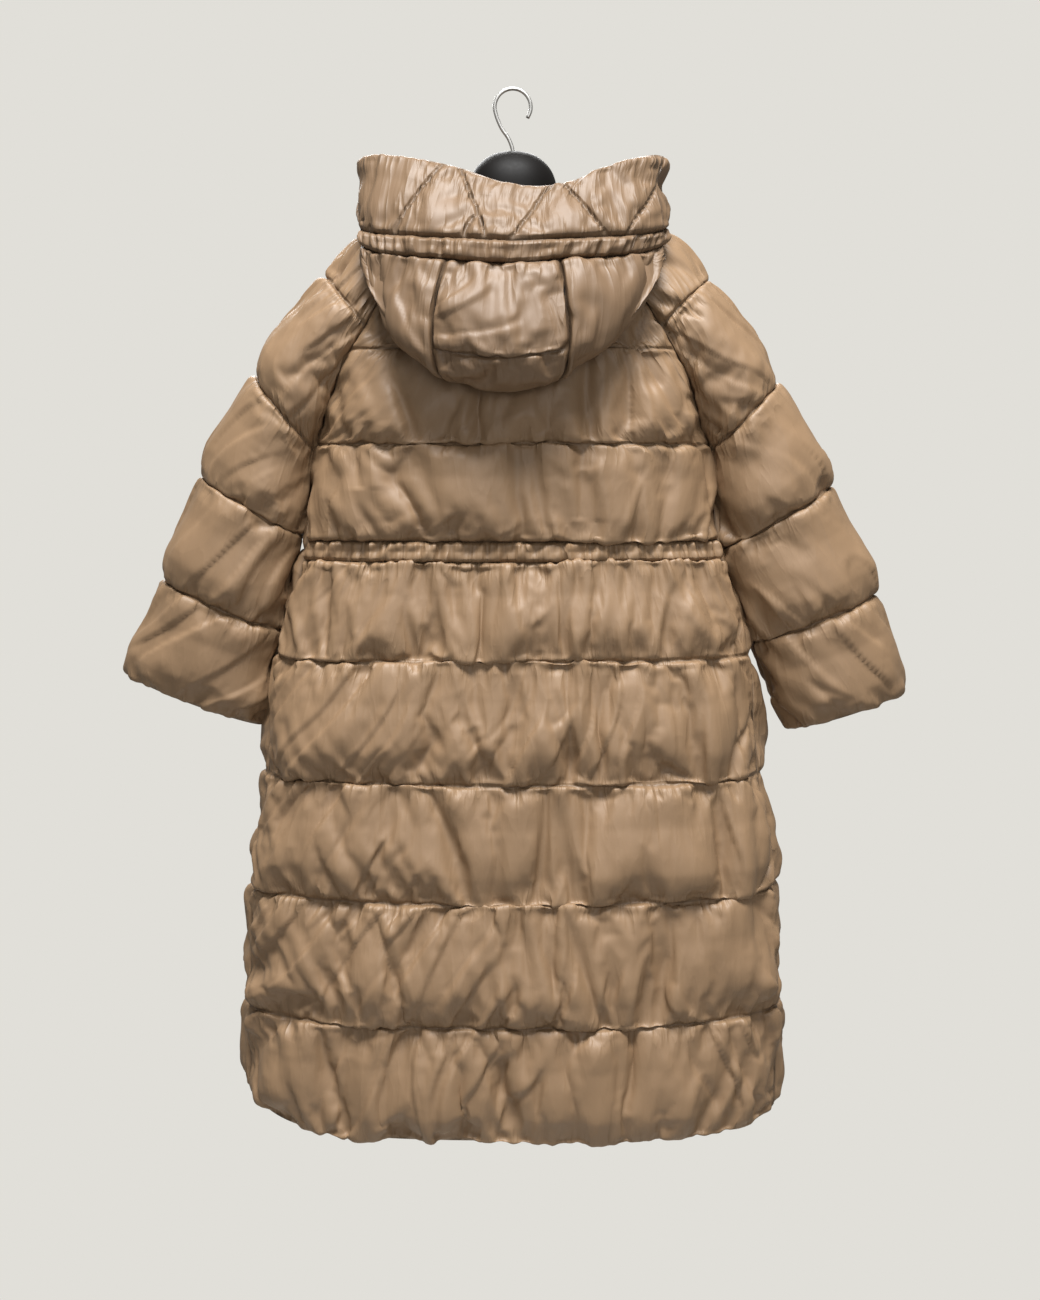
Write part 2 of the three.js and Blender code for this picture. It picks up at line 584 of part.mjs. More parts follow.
add('back_upper', backPanel([NECK_Z, ...UPPER_LINES, CASING_TOP], 14,
  { top: FOLD_INSET, start: RAGLAN_INSET, end: RAGLAN_INSET }), NYLON);
add('waist_casing', waistCasing(14), NYLON);
add('back_lower', backPanel([CASING_BOTTOM, ...LOWER_LINES, HEM_Z], 14), NYLON);
for (const side of ['left', 'right']) {
  add(`front_${side}`, frontPanel(side, 6), NYLON);
  add(`sleeve_${side}`, sleeve(side, 16), NYLON);
}
add('front_placket', placket(), NYLON);
add('hood_brim', hoodStrip(rim, brimLower, BRIM_REACH, 28, 4, HOOD_FILL,
  { start: 0.3, end: 0.3, bottom: FOLD_INSET }), HOOD_NYLON);
add('hood_casing', hoodStrip(brimLower, crownSeam, LAST_STATION, 16, 2, CASING_FILL,
  { start: FOLD_INSET, end: FOLD_INSET, bottom: CASING_INSET }), HOOD_NYLON);
add('hood_centre', crownPanel(-CENTRE_STATION, CENTRE_STATION, 4), HOOD_NYLON);
add('hood_left', crownPanel(-LAST_STATION, -CENTRE_STATION, 6), HOOD_NYLON);
add('hood_right', crownPanel(CENTRE_STATION, LAST_STATION, 6), HOOD_NYLON);
add('torso_form', torsoForm(), { color: 0x171513, roughness: 0.35, metalness: 0 });
add('hook', hook(), { color: 0xb8b8b6, roughness: 0.25, metalness: 1 });

export default group;
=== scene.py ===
"""Long quilted puffer coat with a thrown-back hood, filled out on a torso form that hangs from a hook.

Every cloth piece starts as the flat-cut sewing surface of its CAD solid, as a fine grid in bmesh. Its
quilting lines and edges are held, the air in its channels presses it out and the cloth settles into
folds. Then it gets its gathers, a lining and closed edges, so each piece is one padded wall.
"""
import math

import bmesh
import bpy
import numpy as np
from bpy.props import FloatProperty, FloatVectorProperty, PointerProperty
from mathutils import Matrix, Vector, kdtree, noise


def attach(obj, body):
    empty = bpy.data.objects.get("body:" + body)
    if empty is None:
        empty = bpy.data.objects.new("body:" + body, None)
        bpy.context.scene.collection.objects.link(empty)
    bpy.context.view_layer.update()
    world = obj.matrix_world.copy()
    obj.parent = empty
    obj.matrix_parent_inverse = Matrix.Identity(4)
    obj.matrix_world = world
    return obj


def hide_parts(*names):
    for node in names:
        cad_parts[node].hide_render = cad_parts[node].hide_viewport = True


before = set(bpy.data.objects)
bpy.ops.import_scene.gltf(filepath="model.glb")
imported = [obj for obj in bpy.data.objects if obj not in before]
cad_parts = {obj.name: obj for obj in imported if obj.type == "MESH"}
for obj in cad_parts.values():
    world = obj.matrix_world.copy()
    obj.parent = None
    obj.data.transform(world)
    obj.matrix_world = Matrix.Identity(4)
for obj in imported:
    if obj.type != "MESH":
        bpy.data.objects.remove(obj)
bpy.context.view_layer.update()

bl_info = {
    "name": "Long puffer coat",
    "version": (1, 0, 0),
    "blender": (4, 5, 0),
    "location": "View3D > Sidebar > Coat",
    "description": "Builds a long quilted puffer coat on a hanging torso form",
    "category": "Object",
}

MM = 0.001

# ---- The coat's measures, in millimetres ------------------------------------------------------------
NECK_Z, NECK_DROP, ARMPIT_Z, HEM_Z = -165, 70, -445, -1304
CASING_TOP, CASING_BOTTOM = -554, -579
UPPER_LINES = [NECK_Z, -324, -437, CASING_TOP]
LOWER_LINES = [CASING_BOTTOM, -700, -851, -998, -1155, HEM_Z]
FRONT_LINES = [NECK_Z, -324, -437, (CASING_TOP + CASING_BOTTOM) / 2, -700, -851, -998, -1155, HEM_Z]
HEM_LIFT = {"left": 36, "right": 14}
SECTION_POWER = 2.4
SIDE_SEAM = 80
FRONT_EDGE, FLANGE, PLACKET_HALF = 0.15, 33, 29

HALF_WIDTH = [(-445, 246), (-566, 262), (-700, 299), (-851, 316), (-998, 335), (-1155, 345), (-1304, 346)]
BACK_DEPTH = [(-165, 72), (-200, 87), (-240, 97), (-300, 106), (-380, 113), (-445, 115), (-566, 106),
              (-700, 112), (-851, 116), (-1155, 116), (-1304, 108)]
FRONT_DEPTH = [(-165, 66), (-235, 90), (-300, 106), (-380, 116), (-445, 119), (-566, 108), (-700, 108),
               (-1155, 104), (-1304, 98)]
RAGLAN_X = [(-165, 68), (-215, 118), (-268, 160), (-315, 191), (-345, 208), (-385, 226), (-420, 239),
            (-445, 246)]
RAGLAN_Y = [(-165, 56), (-215, 70), (-268, 76), (-315, 73), (-360, 60), (-400, 41), (-430, 18), (-445, 0)]

# A sleeve's quilting lines, 0 at the neck to 5 at the cuff: outer ridge, lowest point and half depth.
SLEEVES = {
    "right": {
        "ridge": [(0, 90, -160), (0.55, 170, -178), (0.8, 205, -200), (1, 238, -237), (2, 327, -362),
                  (3, 397, -490), (4, 460, -625), (5, 499, -754)],
        "under": [(3, 271, -563), (4, 312, -684), (5, 357, -800)],
        "depth": [(0, 58), (1, 80), (2, 71), (3, 64), (4, 58), (5, 51)],
    },
    "left": {
        "ridge": [(0, 90, -160), (0.55, 168, -177), (0.8, 200, -198), (1, 228, -233), (2, 318, -352),
                  (3, 389, -478), (4, 443, -607), (5, 495, -733)],
        "under": [(3, 270, -548), (4, 302, -669), (5, 328, -796)],
        "depth": [(0, 58), (1, 80), (2, 71), (3, 62), (4, 54), (5, 38)],
    },
}
RAGLAN_KNOTS = [(0, NECK_Z), (1, -295), (2, ARMPIT_Z)]
FORWARD_REACH = [(0, 0), (2, 0), (3, 5), (4, 12), (5, 24)]

# Lines round the right half of the hood from centre back. A number is a place on the neck seam.
HOOD_RIM = [(0, -118, -140), (42, -117, -134), (85, -110, -117), (130, -95, -103), (168, -68, -93),
            (184, -30, -91), (176, 8, -104), (155, 42, -125), (122, 72, -150), (82, 94, -172),
            (40, 106, -188), (2, 110, -195)]
BRIM_SEAM = [(0, -165, -210), (40, -163, -208), (80, -155, -205), (124, -138, -200), (166, -106, -191),
             (182, -74, -179), (168, -40, -158), (134, -12, -139), 0.52]
BRIM_NECK = [0.68, 0.84, 0.995]
CROWN_SEAM = [(0, -165, -235), (38, -163, -233), (72, -157, -229), (118, -140, -224), (160, -112, -214),
              (177, -86, -200), (164, -54, -175), (132, -28, -150), 0.47]
POUCH_FOLD = [(0, -150, -377), (38, -151, -373), (72, -150, -362), (116, -142, -328), (146, -129, -286),
              (164, -112, -245), (164, -95, -205), (138, -62, -156), 0.42]
CROWN_NECK, CENTRE_STATION, LAST_STATION, BRIM_REACH = 0.37, 1.8, 8, 11
RIM_SKEW, CROWN_SKEW, POUCH_PUSH, NECK_STAND = 28, -13, 62, 2
TIP_STATION, WING_TIP, WING_DENT = 4.9, 4, 15

# The torso form's sections: height, half width and half depth.
FORM_SECTIONS = [(-75.5, 12, 12), (-78, 24, 24), (-86, 38, 38), (-100, 50, 49), (-118, 55, 54),
                 (-140, 55, 55), (-156, 60, 56), (-170, 78, 59), (-182, 110, 62), (-194, 146, 65),
                 (-210, 174, 68), (-235, 190, 73), (-275, 196, 79), (-330, 190, 84), (-400, 178, 86),
                 (-470, 164, 83), (-566, 148, 76), (-640, 160, 82), (-700, 170, 86)]
FORM_POWER, FORM_SIDES = 2.2, 48
HOOK_WIRE, HOOK_BEND, HOOK_SOCKET, FORM_TOP = 2.4, 20, 22, -75.5

# Quilting across the brim: each line runs from a (station, way) to another.
BRIM_SEAMS = [((-2.3, 0.0), (-3.3, 1.0)), ((-2.0, 0.0), (-0.73, 1.0)), ((0.42, 0.0), (0.0, 1.0)),
              ((0.68, 0.0), (2.6, 1.0)), ((4.5, 0.0), (3.1, 1.0)), ((-1.25, 0.65), (-1.45, 1.0)),
              ((-4.9, 0.8), (-3.6, 1.0)), ((-5.6, 0.0), (-4.6, 1.0)), ((-5.9, 0.0), (-6.8, 1.0)),
              ((5.4, 0.0), (6.4, 1.0)), ((-7.6, 0.0), (-8.4, 1.0)), ((7.6, 0.0), (8.4, 1.0)),
              ((-9.4, 0.0), (-9.8, 1.0)), ((9.4, 0.0), (9.8, 1.0))]

# ---- How the cloth settles, and the stage, in metres --------------------------------------------------
SETTLE_FRAMES = 25
LINING_STRIDE = 3  # the lining has a third of the outer face's rows and columns
PRESSED_DEPTH = 0.006

# How a panel is padded where it doesn't say otherwise. A fill, fold, gather or crumple is a depth.
PADDING = {
    "settles": True, "pressure": 55, "bending": 0.02,
    "extra": 0.10,            # cloth beyond what the flat panel needs, as a share
    "cap": 36,                # how far a point may move while it settles, in millimetres
    "sag": 0.22,              # how much further a channel's lower part stands out
    "fold": 0.013, "folds": 24, "slant": (0.5, 0.5),  # folds in a metre, and their lean at either end
    "gather": 0.0019, "gather_pitch": 0.010, "gather_reach": 0.007, "draw": None,
    "crumple": 0.0019,
    "deepening": 0,           # how much deeper folds and creases are with each channel down
    "pressed": (),            # folds pressed in by storage, each from one place on the cut to another
}

# The floor is a deeper shade than the backdrop, so that under the lamps they look alike.
FLOOR_Z, FLOOR_RADIUS, FLOOR_SHADE = -2.2, 1.05, 0.58
WORLD_STRENGTH = 0.35
LIGHT_TARGET = (0, 0, -0.7)
# Each softbox's place, size and power in watts.
LIGHTS = [
    ("ceiling_softbox", (0.1, -1.9, 3.3), (2.2, 1.2), 435),
    ("front_softbox", (0.5, -3.0, -0.1), (1.6, 1.2), 18),
    ("far_softbox", (-0.4, 3.0, 1.5), (2.2, 1.6), 150),
]
CAMERA_PLACE, CAMERA_TILT, CAMERA_LENS = (0.009, -1.85, -0.50385), 5.925, 40.02


# ---- Small mathematics ------------------------------------------------------------------------------
def through(knots):
    """A smooth function through (position, value) knots, constant beyond the first and the last."""
    way = 1 if knots[1][0] > knots[0][0] else -1

    def value(x):
        if (x - knots[0][0]) * way <= 0:
            return knots[0][1]
        if (x - knots[-1][0]) * way >= 0:
            return knots[-1][1]
        k = next(i for i, knot in enumerate(knots) if (knot[0] - x) * way > 0)
        (x1, y1), (x2, y2) = knots[k - 1], knots[k]
        x0, y0 = knots[max(k - 2, 0)]
        x3, y3 = knots[min(k + 1, len(knots) - 1)]
        span = x2 - x1
        t = (x - x1) / span
        slope1, slope2 = (y2 - y0) / (x2 - x0), (y3 - y1) / (x3 - x1)
        return (y1 * (1 + 2 * t) * (1 - t) ** 2 + slope1 * span * t * (1 - t) ** 2
                + y2 * t * t * (3 - 2 * t) - slope2 * span * t * t * (1 - t))
    return value


def lerp(a, b, t):
    return a + (b - a) * t


def smoothstep(x, low, high):
    t = min(1.0, max(0.0, (x - low) / (high - low)))
    return t * t * (3 - 2 * t)


def bump(x, middle, reach):
    """A smooth hump of height 1 that ends this far to each side of its middle."""
    return 1 - smoothstep(abs(x - middle), 0, reach)


def signed_power(value, power):
    return math.copysign(abs(value) ** power, value)


def steps(first, last, count):
    return [lerp(first, last, k / count) for k in range(count + 1)]


def curve_through(points):
    """A centripetal curve through points, by point number: 0 at the first, 1 at the second."""
    points = [Vector(p) for p in points]
    run = [2 * points[0] - points[1], *points, 2 * points[-1] - points[-2]]

    def place(t):
        k = min(max(int(math.floor(t)), 0), len(points) - 2)
        w = t - k
        p0, p1, p2, p3 = run[k:k + 4]
        d0, d1, d2 = [max((b - a).length, 1e-4) ** 0.5 for a, b in ((p0, p1), (p1, p2), (p2, p3))]
        t1 = ((p1 - p0) / d0 - (p2 - p0) / (d0 + d1) + (p2 - p1) / d1) * d1
        t2 = ((p2 - p1) / d1 - (p3 - p1) / (d1 + d2) + (p3 - p2) / d2) * d1
        return (p1 + t1 * w + (3 * (p2 - p1) - 2 * t1 - t2) * w ** 2
                + (2 * (p1 - p2) + t1 + t2) * w ** 3)
    return place


half_width, back_depth, front_depth = through(HALF_WIDTH), through(BACK_DEPTH), through(FRONT_DEPTH)
raglan_x, raglan_y = through(RAGLAN_X), through(RAGLAN_Y)
forward_reach = through(FORWARD_REACH)


# ---- Sewing surfaces: place(turn, line) gives a point in millimetres --------------------------------
def body_width(z):
    if z <= ARMPIT_Z:
        return half_width(z)
    return raglan_x(z) / (1 - (raglan_y(z) / back_depth(z)) ** SECTION_POWER) ** (1 / SECTION_POWER)


def body_point(angle, z):
    """A point of the body by its angle in degrees from centre back, positive on the wearer's right."""
    sine = signed_power(math.sin(math.radians(angle)), 2 / SECTION_POWER)
    cosine = signed_power(math.cos(math.radians(angle)), 2 / SECTION_POWER)
    depth = back_depth(z) if cosine > 0 else front_depth(z)
    return Vector((body_width(z) * sine, -depth * cosine, z))


def edge_angle(z):
    if z > ARMPIT_Z:
        return math.degrees(math.asin(min(1, (raglan_x(z) / body_width(z)) ** (SECTION_POWER / 2))))
    return lerp(90, SIDE_SEAM, smoothstep(ARMPIT_Z - z, 0, ARMPIT_Z - CASING_TOP))


def angle_at(x, z):
    return 180 - math.degrees(math.asin((x / body_width(z)) ** (SECTION_POWER / 2)))


def seam_angle(row):
    """The angle of a front's outer edge: the raglan seam above the armpit, the side seam below."""
    return 180 - edge_angle(row) if row > ARMPIT_Z else edge_angle(row)


def hem_nearness(z):
    """0 down to the last quilting line, then up to 1 at the hem."""
    return max(0.0, (LOWER_LINES[-2] - z) / (LOWER_LINES[-2] - HEM_Z))


def back_place(turn, z):
    angle = turn * edge_angle(z)
    point = body_point(angle, z)
    rise = HEM_LIFT["left" if turn < 0 else "right"] * hem_nearness(z)
    point.z += rise * abs(math.sin(math.radians(angle))) ** 6
    return point


def front_place(side):
    """A front's surface: turn is 0 on its raglan or side seam, 1 at the flange, 2 at centre front."""
    def place(turn, row):
        turn = 2 - turn if side == "left" else turn
        near = max(0.0, (row - FRONT_LINES[1]) / (NECK_Z - FRONT_LINES[1]))
        drop = NECK_DROP * math.sin(turn / 2 * math.pi / 2) ** 1.2
        rise = HEM_LIFT[side] * hem_nearness(row) * max(0.0, 1 - turn * 1.2) ** 2
        z = row - drop * near + rise
        flange = angle_at(FLANGE, z)
        angle = (lerp(seam_angle(row), flange, turn) if turn <= 1
                 else lerp(flange, angle_at(FRONT_EDGE, z), turn - 1))
        point = body_point(angle, z)
        if side == "left":
            point.x = -point.x
        return point
    return place


def placket_place(turn, row):
    edge = front_place("right")(2, row)
    point = body_point(angle_at(max(abs(turn) * PLACKET_HALF, 0.001), edge.z), edge.z)
    return Vector((-math.copysign(point.x, turn), point.y, point.z))


def sleeve_place(side):
    """A sleeve's surface: turn runs from -1 on the back seam over the ridge to 1 on the front seam."""
    measures = SLEEVES[side]
    ridge_x = through([(k, x) for k, x, _ in measures["ridge"]])
    ridge_z = through([(k, z) for k, _, z in measures["ridge"]])
    raglan_z = through(RAGLAN_KNOTS)
    under_x = through([(1, 192), (2, raglan_x(ARMPIT_Z)), *[(k, x) for k, x, _ in measures["under"]]])
    under_z = through([*RAGLAN_KNOTS[1:], *[(k, z) for k, _, z in measures["under"]]])
    half_depth = through(measures["depth"])
    mirror = -1 if side == "left" else 1

    def place(turn, line):
        turn = -turn if side == "left" else turn
        on_body = line < 2
        low_z = raglan_z(line) if on_body else under_z(line)
        low_x = raglan_x(low_z) if on_body else under_x(line)
        edge = raglan_y(low_z) if on_body else 0
        opening = math.pi - math.asin(min(1, edge / half_depth(line)))
        out = (math.cos(turn * opening) - math.cos(opening)) / (1 - math.cos(opening))
        front = front_depth(low_z) / back_depth(low_z) if turn > 0 and on_body else 1
        return Vector((mirror * lerp(low_x, ridge_x(line), out),
                       half_depth(line) * math.sin(turn * opening) * lerp(1, front, abs(turn))
                       + forward_reach(line),
                       lerp(low_z, ridge_z(line), out)))
    return place


def neck_seam():
    """The right half of the hood's neck edge by its length, 0 at centre back to 1 at centre front."""
    sleeve, front = sleeve_place("right"), front_place("right")
    points = [body_point(t * edge_angle(NECK_Z), NECK_Z) for t in steps(0, 0.9, 4)]
    points += [sleeve(t, 0) for t in steps(-1, 0.9, 8)]
    points += [front(t, NECK_Z) for t in steps(0, 2, 8)]
    place = curve_through([p + Vector((0, 0, NECK_STAND)) for p in points])
    fine = [place(t) for t in steps(0, len(points) - 1, 400)]
    lengths = np.concatenate([[0], np.cumsum([(b - a).length for a, b in zip(fine, fine[1:])])])
    xyz = np.array(fine)

    def at(share):
        return Vector([np.interp(share * lengths[-1], lengths, xyz[:, k]) for k in range(3)])
    return at


neck = neck_seam()


def hood_line(half, skew=0.0):
    """A whole line round the hood by station, 0 at centre back and negative on the left."""
    places = [p for p in half if not isinstance(p, tuple)]
    free = [Vector(p) for p in half if isinstance(p, tuple)]
    right = [*free, neck(places[0])] if places else free
    place = curve_through([Vector((-p.x, p.y, p.z)) for p in right[:0:-1]] + right)
    reach = len(right) - 1
    widest = max(p.x for p in right)

    def at(station):
        beyond = abs(station) - reach
        if (beyond > 0 or not free) and len(places) > 1:
            k = max(0, min(int(beyond), len(places) - 2))
            point = neck(lerp(places[k], places[k + 1], beyond - k))
            return Vector((-point.x, point.y, point.z)) if station < 0 else point
        point = place(station + reach)
        if point.y < 0:
            point.x += skew * (1 - (point.x / widest) ** 2)
        return point
    return at


rim, brim_lower = hood_line(HOOD_RIM, RIM_SKEW), hood_line([*BRIM_SEAM, *BRIM_NECK])
crown_seam, pouch_fold = hood_line(CROWN_SEAM, CROWN_SKEW), hood_line(POUCH_FOLD, CROWN_SKEW)


def crown_neck(station):
    point = neck(abs(station) / LAST_STATION * CROWN_NECK)
    return Vector((-point.x, point.y, point.z)) if station < 0 else point


def brim_place(station, way):
    """The brim, whose right wing has a dent below its sharp tip."""
    point = rim(station).lerp(brim_lower(station), way)
    point.x += WING_TIP * bump(station, TIP_STATION, 0.7) * bump(way, 0, 0.16)
    point.x -= WING_DENT * bump(station, TIP_STATION, 1.1) * bump(way, 0.4, 0.36)
    return point


def hood_casing_place(station, way):
    return brim_lower(station).lerp(crown_seam(station), way)


def bezier(a, b, c, d, t):
    return a * (1 - t) ** 3 + b * 3 * t * (1 - t) ** 2 + c * 3 * t * t * (1 - t) + d * t ** 3


def crown_place(station, way):
    """The crown: way is 0 on the casing seam, 1 at the fold of the pouch and 2 at the neck seam."""
    top, fold, rest = crown_seam(station), pouch_fold(station), crown_neck(station)
    side = abs(station) / LAST_STATION
    push = Vector((top.x, top.y + 40, 0)).normalized() * POUCH_PUSH * (1 - side) ** 1.2
    depth = top.z - fold.z
    if way <= 1:
        first, second = top + push * 0.55, fold + push
        first.z, second.z = top.z - depth * 0.3, fold.z + depth * 0.08
        return bezier(top, first, second, fold, way)
    first = fold + Vector((0, 10 * (1 - side), depth * 0.3))
    second = rest + Vector((math.copysign(16 * side, station), -50 + 16 * side, 16 * side - 2))
    return bezier(fold, first, second, rest, way - 1)


# How much of its full puff each place has, from 0, pressed flat, to 1.
def side_share(angle, z):
    pressed = lerp(1, 0.5, smoothstep(-z, 300, 380) * smoothstep(-z, 560, 470))
    return lerp(1, pressed, smoothstep(60 - abs(90 - angle), 0, 45))


def back_share(turn, z):
    return side_share(abs(turn) * edge_angle(z), z) * lerp(0.5, 1, smoothstep(-z, 280, 400))


def front_share(side):
    def share(turn, row):
        turn = 2 - turn if side == "left" else turn
        if turn >= 1:
            return 0.0
        return side_share(lerp(seam_angle(row), 180, turn), row) * smoothstep(1 - turn, 0, 0.15)
    return share


def sleeve_share(turn, line):
    underarm = smoothstep(abs(turn), 0.55, 0.95)
    flat = lerp(1, 0.4, underarm * smoothstep(line, 3.0, 2.2))
    return flat * lerp(0.1, 1, smoothstep(line, 0.1, 1.3))


def crown_share(station, way):
    outer = math.sin(math.pi * min(way * 1.1, 1)) ** 0.6 if way <= 1 else 0
    return outer * lerp(1, 0.5, smoothstep(abs(station), 2.5, 5))


def brim_share(station, way):
    return lerp(1, 0.3, smoothstep(abs(station), 6.5, 8.5))


# ---- Laying a panel out as a grid -------------------------------------------------------------------
class Panel:
    """The sewing surface of one piece as rows of points, with its stitched lines held."""

    def __init__(self, name, place, breaks, lines, step, share=None, seams=(), inset=(0.4,) * 4,
                 seed=0.0):
        self.name, self.seed = name, seed
        self.stitched_rows = []
        rows = []
        middle = (breaks[0] + breaks[-1]) / 2
        for top, low in zip(lines, lines[1:]):
            run = [place(middle, v) for v in steps(top, low, 6)]
            count = max(2, round(sum((b - a).length for a, b in zip(run, run[1:])) / step))
            self.stitched_rows.append(len(rows))
            rows += steps(top, low, count)[:-1]
        self.stitched_rows.append(len(rows))
        rows.append(lines[-1])
        fine = [steps(a, b, 48) for a, b in zip(breaks, breaks[1:])]
        table = []
        for v in rows:
            spans = []
            for turns in fine:
                run = [place(u, v) for u in turns]
                lengths = [(b - a).length for a, b in zip(run, run[1:])]
                spans.append((np.concatenate([[0], np.cumsum(lengths)]), turns))
            table.append(spans)
        counts = [max(2, round(np.mean([row[k][0][-1] for row in table]) / step)) for k in range(len(fine))]
        break_columns = [0, *np.cumsum(counts)]
        columns = int(break_columns[-1]) + 1
        grid = np.zeros((len(rows), columns))
        for i, spans in enumerate(table):
            at = 0
            for count, (lengths, turns) in zip(counts, spans):
                grid[i, at:at + count + 1] = np.interp(np.linspace(0, lengths[-1], count + 1), lengths, turns)
                at += count
        stitched = np.zeros(grid.shape, bool)
        stitched[self.stitched_rows] = True
        stitched[:, break_columns] = True
        for (u0, v0), (u1, v1) in seams:
            for i, v in enumerate(rows):
                if min(v0, v1) <= v <= max(v0, v1) and v0 != v1:
                    crossing = lerp(u0, u1, (v - v0) / (v1 - v0))
                    j = int(np.argmin(np.abs(grid[i, 1:-1] - crossing))) + 1
                    grid[i, j] = crossing
                    stitched[i, j] = True
        self.rows, self.turns, self.stitched = rows, grid, stitched
        points = np.array([[place(u, v) for u in grid[i]] for i, v in enumerate(rows)]) * MM
        self.share = np.array([[share(u, v) for u in grid[i]] for i, v in enumerate(rows)]) \
            if share else np.ones(grid.shape)
        top, low, start, end = [x * MM for x in inset]
        for lines_of, first, last in ((points, top, low), (points.swapaxes(0, 1), start, end)):
            for target, source, distance in ((0, 1, first), (-1, -2, last)):
                way = lines_of[source] - lines_of[target]
                lines_of[target] += way / np.linalg.norm(way, axis=1)[:, None] * distance
        self.points = points
        across, down = np.gradient(points, axis=1), np.gradient(points, axis=0)
        normals = np.cross(down, across)
        self.normals = normals / np.maximum(np.linalg.norm(normals, axis=2), 1e-9)[..., None]
        widths = np.linalg.norm(np.diff(points, axis=1), axis=2).mean(axis=0)
        heights = np.linalg.norm(np.diff(points, axis=0), axis=2).mean(axis=1)
        along = np.concatenate([[0], np.cumsum(widths)])
        below = np.concatenate([[0], np.cumsum(heights)])
        self.along = np.tile(along - along[-1] / 2, (len(rows), 1))
        self.below = np.tile(below[:, None], (1, columns))
        self.lines_below = below[self.stitched_rows]
        tree = kdtree.KDTree(int(stitched.sum()))
        for k, co in enumerate(points[stitched]):
            tree.insert(Vector(co), k)
        tree.balance()
        self.reach = np.array([[tree.find(Vector(co))[2] for co in row] for row in points])

    def rim(self):
        edge = np.zeros(self.stitched.shape, bool)
        edge[[0, -1]] = True
        edge[:, [0, -1]] = True
        return edge


def finish_mesh(bm, name):
    mesh = bpy.data.meshes.new(name)
    bm.to_mesh(mesh)
    bm.free()
    return mesh


def close_ends(bm):
    """Fills a shape's open ends and turns its faces outwards."""
    bmesh.ops.holes_fill(bm, edges=[edge for edge in bm.edges if edge.is_boundary], sides=0)
    bmesh.ops.recalc_face_normals(bm, faces=bm.faces)


def grid_mesh(name, rows, columns):
    """A grid made in bmesh whose vertices are then numbered row by row."""
    bm = bmesh.new()
    bmesh.ops.create_grid(bm, x_segments=columns - 1, y_segments=rows - 1, size=0.5)
    for vert in bm.verts:
        row, column = round((0.5 - vert.co.y) * (rows - 1)), round((vert.co.x + 0.5) * (columns - 1))
        vert.index = row * columns + column
    bm.verts.sort()
    return finish_mesh(bm, name)


def face_along(mesh, normals):
    """Turns a grid's faces to the side that the normals of its points show."""
    first = mesh.polygons[0]
    if first.normal.dot(Vector(normals.reshape(-1, 3)[first.vertices[0]])) < 0:
        mesh.flip_normals()


def place_vertices(mesh, points):
    mesh.vertices.foreach_set("co", np.ascontiguousarray(points, dtype=np.float32).ravel())
    mesh.update()


def vertex_places(mesh):
    flat = np.empty(len(mesh.vertices) * 3, np.float32)
    mesh.vertices.foreach_get("co", flat)
    return flat.reshape(-1, 3).astype(float)


def add_attribute(mesh, name, kind, values):
    attribute = mesh.attributes.new(name, kind, "POINT")
    attribute.data.foreach_set("value" if kind == "FLOAT" else "vector",
                               np.ascontiguousarray(values, dtype=np.float32).ravel())


def read_attribute(mesh, name, width=1):
    values = np.empty(len(mesh.vertices) * width, np.float32)
    mesh.attributes[name].data.foreach_get("value" if width == 1 else "vector", values)
    return values.astype(float) if width == 1 else values.reshape(-1, width).astype(float)


def channel_of(panel, below):
    """The channel that a place is in, and how far down that channel it lies, in metres."""
    channel = max(0, int(np.searchsorted(panel.lines_below, below + 1e-6)) - 1)
    return channel, below - panel.lines_below[channel]


def fold_lean(panel, padding, x, y):
    """How far the folds lean here: they swing from one side of the panel to the other, unevenly."""
    slant, drift = padding["slant"]
    return (lerp(slant, drift, x / (2 * panel.along[0, -1]) + 0.5)
            + 0.5 * noise.noise(Vector((x * 5, y * 5, panel.seed + 77))))


def drape_start(panel, padding):
    """The panel's outer face before it settles: pushed out by its filling, with seeded folds in it."""
    sizes = bpy.context.scene.coat_sizes
    half_channel = padding["channel"] / 2
    part = np.clip(panel.reach / (half_channel * MM), 0, 1)
    puff = np.sqrt(1 - (1 - part) ** 2)
    rim_edge = panel.rim()
    least = np.where(rim_edge, sizes.edge, sizes.stitched)
    folds = np.zeros(puff.shape)
    pitch = padding["folds"]
    for i, j in np.argwhere(~panel.stitched):
        x, y = panel.along[i, j], panel.below[i, j]
        channel, local = channel_of(panel, y)
        lean = fold_lean(panel, padding, x, y)
        long_fold = noise.noise(Vector(((x + lean * local) * pitch, local * 5, channel * 3.7 + panel.seed)))
        cross_fold = noise.noise(Vector(((x - lean * local) * pitch * 1.9, local * 11,
                                         channel * 5.1 + panel.seed + 9)))
        folds[i, j] = (long_fold + 0.5 * cross_fold) * (1 + padding["deepening"] * channel)
    bulge = padding.get("fill", sizes.fill) * (0.6 * puff) + padding["fold"] * folds * puff ** 0.7
    out = least + bulge * panel.share
    return panel.points + panel.normals * out[..., None]


